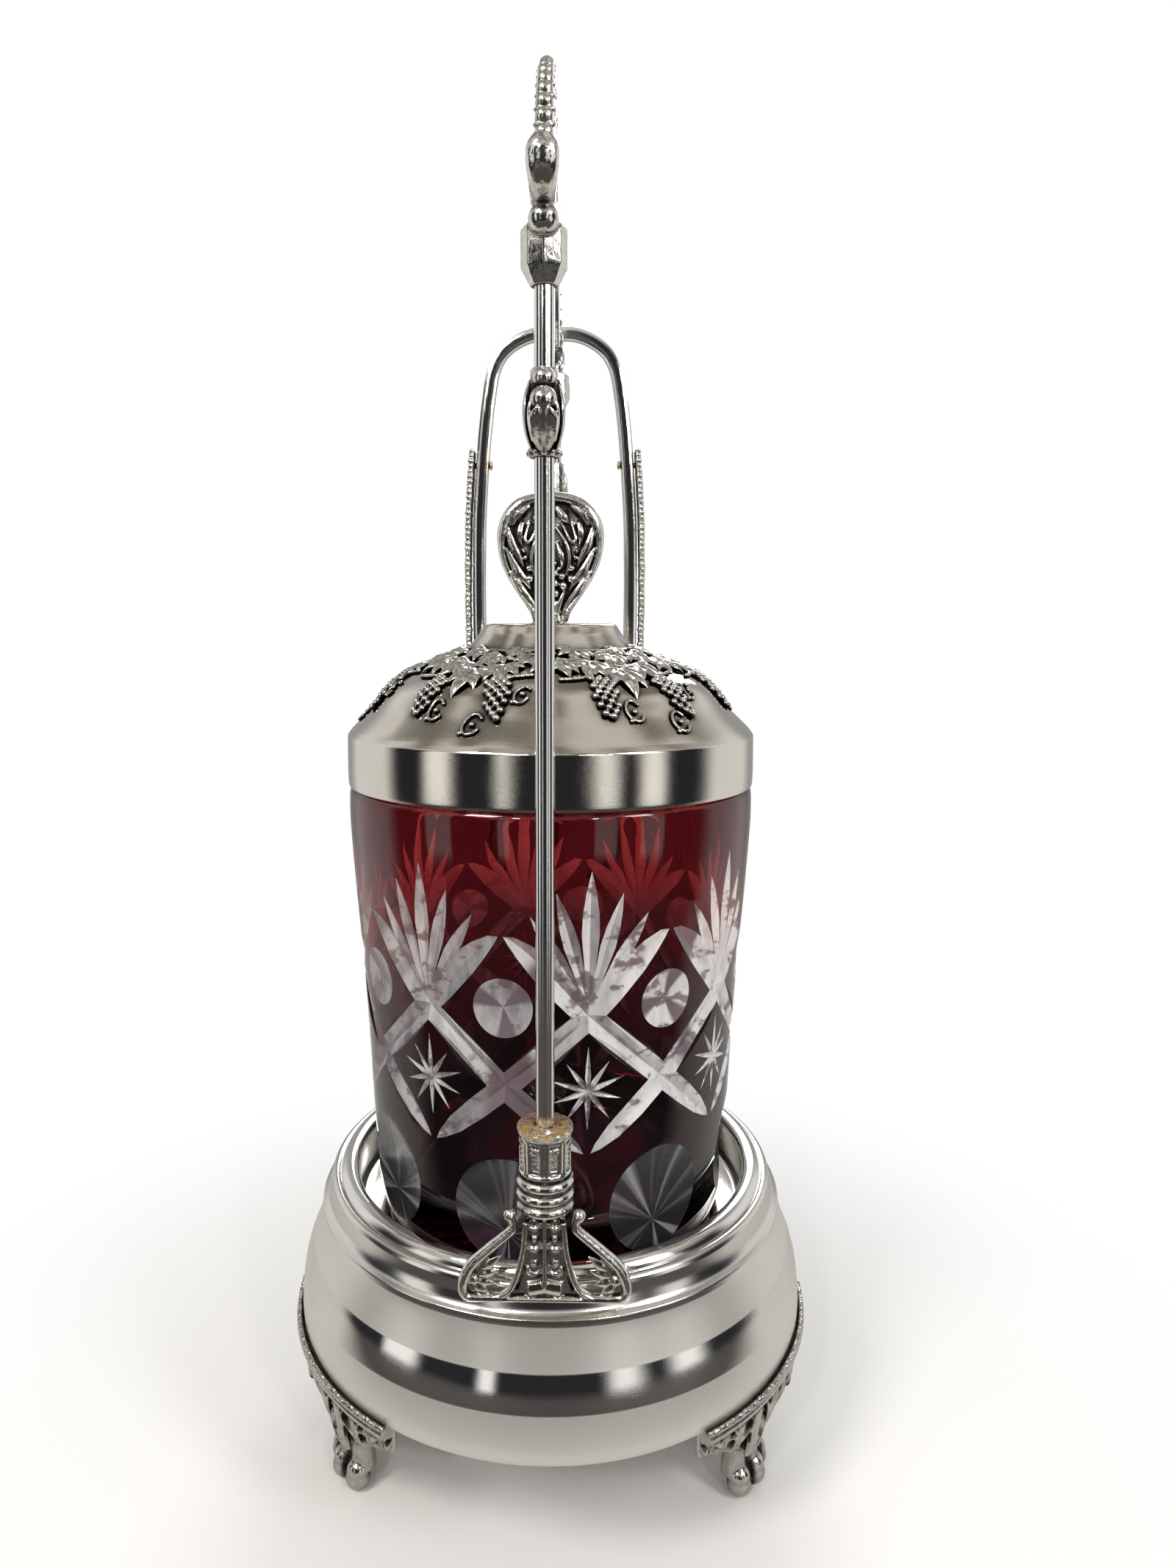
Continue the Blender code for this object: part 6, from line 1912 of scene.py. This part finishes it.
for side in (-1, 1):
    lobe_stem = partial(add_stem, foot_work, mirrored(on_foot, side))
    for lobe in LOBES:
        pile_lobe(lobe_stem, *lobe)
    for fold in SEAM_FOLDS:
        add_stem(foot_work, mirrored(on_leg, side), fold, 0.8, 4, 10)
print(len(LOBES) * 2, "lobes on a foot")

# %% Leg and toes
TOES = ((-4.9, 52.9, 2.8), (0, 54.2, 2.95), (4.9, 52.9, 2.8))
FOLDS = ((20.0, 55.6, 2.5), (14.0, 53.0, 2.35), (9.0, 52.4, 2.7), (4.6, 52.6, 3.1))
SIDE_FOLD_BACK = 1.2
CORE = (
    (0, 29.0, 55.6, 4.6), (0, 20, 53.0, 3.8), (0, 12, 50.2, 3.2), (0, 5.4, 50.2, 3.6),
    (0, 3.7, 50.2, 3.5),
)

stem, ball, *_ = tools_on(foot_work, on_leg)
for x, toe_out, toe_radius in TOES:
    fold = [(x * 2.0, 28.0, 57.4, 2.3)]
    for z, out, radius in FOLDS:
        spread = 0.85 + 0.5 * max(0, (z - 9) / 11)
        fold.append((x * spread, z, out - (SIDE_FOLD_BACK if x else 0), radius))
    stem(fold, 1, 5, 14)
    ball((x, toe_radius + 0.02, toe_out), toe_radius, 1, 3)
    ball((x * 0.92, 6.2, toe_out - 1.2), 2.5)
    ball((x, toe_radius + 1.9, toe_out - 0.1), toe_radius * 0.93, 1, 3)
    tendon = [(x, 6.4, toe_out - 1.2, 1.7), (x * 1.05, 9.6, toe_out - 1.4, 1.25),
              (x * 1.14, 12.4, toe_out - 0.6, 1.2), (x * 1.4, 16.6, 56.2, 1.15),
              (x * 1.8, 21.4, 58.1, 0.95), (x * 2.0, 26.0, 59.2, 0.7)]
    stem(tendon, 1, 4, 12)
stem(CORE, 0.7, 5, 16)
foot = cast("foot_front_left_casting", foot_work, foot_silver, FOOT_GRAIN, 0.45)
foot_low = min(vertex.co.z for vertex in foot.data.vertices)
print("foot stands at", round(foot_low / MM, 2), "mm")

# %% Three feet
for vertex in foot.data.vertices:
    vertex.co.z = max(vertex.co.z, 0.0)
feet = [turned_copy(foot, "foot_front_right_casting", 60), turned_copy(foot, "foot_back_casting", 180)]
foot.data.transform(Matrix.Rotation(math.radians(-60), 4, "Z"))
for piece, node in zip([foot] + feet, ("foot_front_left", "foot_front_right", "foot_back")):
    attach(piece, "frame")
    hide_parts(node)
print("feet:", foot.name, *[piece.name for piece in feet])

# %% [markdown]
# ## Tongs
#
# The tongs hang on the back shoulder of the handle. They are one strip of
# silver, bent to a bow whose two arms spring apart: pressing the arms together
# closes the claws. Each half is swept here along its outline, and it bends
# between the bow and its arm where the strip would flex.

# %% Tongs strip
TONGS_HALF_WIDTH = 21.3
TONGS_LENGTH = 148.0
STRIP_THICKNESS, STRIP_DEPTH = 3.6, 3.2
STRIP_SIDES = 20
STRIP_SQUARENESS = 5
STRIP_CORNER = math.radians(50)
TONGS_OUTLINE = (
    (0, 0), (.28, .002), (.52, .016), (.69, .037), (.795, .068), (.86, .12), (.906, .173), (.939, .227),
    (.986, .328), (1, .416), (1.004, .47), (1, .558), (.975, .68), (.915, .78), (.83, .85),
)

tongs_line_z = high("tongs_bow").z / MM - STRIP_THICKNESS / 2
tongs_y = (low("tongs_bow").y + high("tongs_bow").y) / 2 / MM
tongs_knots = [(TONGS_HALF_WIDTH * x, tongs_line_z - TONGS_LENGTH * s) for x, s in TONGS_OUTLINE]
tongs_run = curve_through([(-tongs_knots[1][0], tongs_knots[1][1])] + tongs_knots)
tongs_run = [(max(x, 0.0), z) for x, z in tongs_run if x >= -1e-6]


def strip_half(name, side):
    """Half of the bent strip: a rounded section swept along the outline."""
    work = bmesh.new()
    rings = []
    last = len(tongs_run) - 1
    for index, (x, z) in enumerate(tongs_run):
        before, after = tongs_run[max(index - 1, 0)], tongs_run[min(index + 1, last)]
        along = Vector((after[0] - before[0], after[1] - before[1]))
        if index == 0:
            along = Vector((1, 0))
        along.normalize()
        ring = []
        for step in range(STRIP_SIDES):
            angle = math.tau * (step + 0.5) / STRIP_SIDES
            swell = (abs(math.cos(angle)) ** STRIP_SQUARENESS
                     + abs(math.sin(angle)) ** STRIP_SQUARENESS) ** (-1 / STRIP_SQUARENESS)
            lift = math.sin(angle) * swell * STRIP_THICKNESS / 2
            deep = math.cos(angle) * swell * STRIP_DEPTH / 2
            corner = (side * (x - along.y * lift), tongs_y + deep, z + along.x * lift)
            ring.append(work.verts.new([value * MM for value in corner]))
        rings.append(ring)
    for lower, upper in zip(rings, rings[1:]):
        for step in range(STRIP_SIDES):
            beyond = (step + 1) % STRIP_SIDES
            work.faces.new((lower[step], lower[beyond], upper[beyond], upper[step]))
    work.faces.new(rings[0])
    work.faces.new(rings[-1])
    return finish_mesh(name, work, bright_silver, STRIP_CORNER)


for place_name, side in (("left", -1), ("right", 1)):
    strip = strip_half("tongs_strip_" + place_name, side)
    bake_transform(strip)
    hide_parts("tongs_bar_" + place_name, *(["tongs_bow"] if side < 0 else []))
print("strip halves of", len(strip.data.polygons), "faces")

# %% [markdown]
# A cast plate of leaves and beads is riveted to the outside of each arm, and
# each arm ends in a small claw with three fingers. Both are piled first and then
# cast, the plate and the claw of one arm after the other.

# %% Pile for a plate
TONGS_GRAIN = 0.2 * MM
PLATE_START, PLATE_END = 0.205, 0.640
PLATE_HALF_DEPTH = 3.6
PLATE_INNER = STRIP_THICKNESS / 2 + 0.3
PLATE_STEPS, EDGE_BEADS, PLATE_LEAVES = 40, 46, 13
line_share = [s for x, s in TONGS_OUTLINE]
line_x = [TONGS_HALF_WIDTH * x for x, s in TONGS_OUTLINE]
plate_length = TONGS_LENGTH * (PLATE_END - PLATE_START)


def on_plate(side):
    """Workspace of an arm's outer face: across its depth, up its length, out from the arm."""
    def place(across, up, out):
        """Up counts from the plate's lower tip."""
        share = PLATE_END - up / TONGS_LENGTH
        x = float(np.interp(share, line_share, line_x))
        z = tongs_line_z - TONGS_LENGTH * share
        return side * (x + PLATE_INNER + out) * MM, (tongs_y + across) * MM, z * MM
    return place


def plate_half(up):
    """Half the plate's depth at a height: swollen above, narrow at its lower tip."""
    way = 1 - up / plate_length
    swell = math.sin(math.pi * min(way / 0.62, 1)) * 0.22
    return PLATE_HALF_DEPTH * (1 - 0.55 * way ** 2) * (1 + swell)


def plate_pile(side):
    """Ground, beaded borders, and a vine with its leaves and berries."""
    work = bmesh.new()
    stem, ball, leaf, _ = tools_on(work, on_plate(side))
    heights = np.linspace(0.6, plate_length - 0.6, PLATE_STEPS)
    for share in (-0.55, 0, 0.55):
        stem([(plate_half(z) * share, z, 0.7, plate_half(z) * 0.45) for z in heights], 0.3, 1, 8)
    for edge in (-1, 1):
        for k, z in enumerate(np.linspace(0.8, plate_length - 0.8, EDGE_BEADS)):
            ball((edge * (plate_half(z) - 0.55), z, 1.0), 0.72 + 0.12 * math.cos(k * 1.9), 1.1)
    stem([(1.1 * math.sin(k * 0.9), z, 1.5, 0.5) for k, z in enumerate(heights)], 1, 2, 8)
    for k, z in enumerate(np.linspace(5, plate_length - 8, PLATE_LEAVES)):
        turn = 1 if k % 2 else -1
        leaf((0, z), (turn * 1.9, z + 3.2), 2.0, 1.5, 3, 0.4)
        ball((-turn * 1.5, z + 1.4, 1.3), 0.6)
        ball((-turn * 1.0, z + 2.6, 1.3), 0.55)
    return work


print("plates", round(plate_length, 1), "mm long")

# %% Pile for a claw
CLAW_LENGTH = 22.0
PALM_SHARE = 0.30
PALM = (
    (0, 0.6, 0, 1.5), (0, -0.05, 0, 1.75), (0, -1.2, 0, 2.2), (0, -3.4, 0, 4.1), (0, -5.8, 0, 4.35),
    (0, -6.9, 0, 3.6),
)
FINGER_LINE = ((0, -0.1), (0.03, 0.12), (0.10, 0.35), (0.04, 0.62), (-0.18, 0.86), (-0.36, 1.0))
FINGER_PITCH = 4.4
claw_x = tongs_knots[-1][0]
claw_top = high("tongs_claw_left").z / MM


def on_claw(side):
    """Workspace of a claw: across its depth, up from its top, out from the arm's line."""
    def place(across, up, out):
        """Out counts sideways, away from the other claw."""
        return side * (claw_x + out) * MM, (tongs_y + across) * MM, (claw_top + up) * MM
    return place


def finger_knots(finger):
    """One finger: it leaves the palm, spreads from its neighbours and bends inwards."""
    knots = []
    for reach, drop in FINGER_LINE:
        free = max(drop, 0)
        down = 1.4 - CLAW_LENGTH * (PALM_SHARE + (1 - PALM_SHARE) * free) - (0.6 if drop < 0 else 0)
        spread = 0.74 + 0.33 * free
        radius = 1.2 * (1 - 0.55 * free)
        knots.append((finger * FINGER_PITCH * spread, down, CLAW_LENGTH * reach, radius))
    return knots


def claw_pile(side):
    """Palm, three fingers and the boss on the palm's outside."""
    work = bmesh.new()
    stem, ball, *_ = tools_on(work, on_claw(side))
    stem(PALM, 0.36, 4, 18)
    for finger in (-1, 0, 1):
        stem(finger_knots(finger), 1, 5, 12)
    ball((0, -4.6, 1.1), 1.5, 0.6)
    return work


print("claws hang from", round(claw_top, 1), "mm")

# %% Plates and claws cast
for place_name, side in (("left", -1), ("right", 1)):
    for word, pile in (("plate", plate_pile), ("claw", claw_pile)):
        name = "tongs_" + word + "_casting_" + place_name
        casting = cast(name, pile(side), cast_silver, TONGS_GRAIN, 0.45)
        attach(casting, "tongs_" + place_name)
        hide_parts("tongs_" + word + "_" + place_name)

# %% [markdown]
# ## Fasteners
#
# The washers, nuts and rivets are plain turned parts of yellow brass. Where
# hands and polish don't reach they have gone brown, and the same dark mask paints
# shade where they sit against other pieces.

# %% Fastener finish
FASTENER_WORDS = ("washer", "nut", "rivet")

fastener_brass, tree, shader = new_finish("fastener_brass", Metallic=1.0)
# tarnish and painted shade: dark brown in corners and against other pieces
dark = use_group(tree, tarnish, Reach=0.8 * MM, Depth=0.9)["Mask"]
worn = use_group(tree, scratches, Fineness=2200)["Value"]
yellow = mix_colour(tree, worn, (0.66, 0.50, 0.25), (0.52, 0.37, 0.16))
feed(tree, shader, Base_Color=mix_colour(tree, dark, yellow, (0.09, 0.05, 0.02)),
     Roughness=math_node(tree, "MULTIPLY_ADD", worn, 0.22, 0.2))
add_bump(tree, shader, worn, 0.02 * MM)
kept = [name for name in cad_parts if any(word in name for word in FASTENER_WORDS)]
for name in kept:
    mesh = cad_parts[name].data
    mesh.materials.clear()
    mesh.materials.append(fastener_brass)
print("finish given to", ", ".join(sorted(kept)))
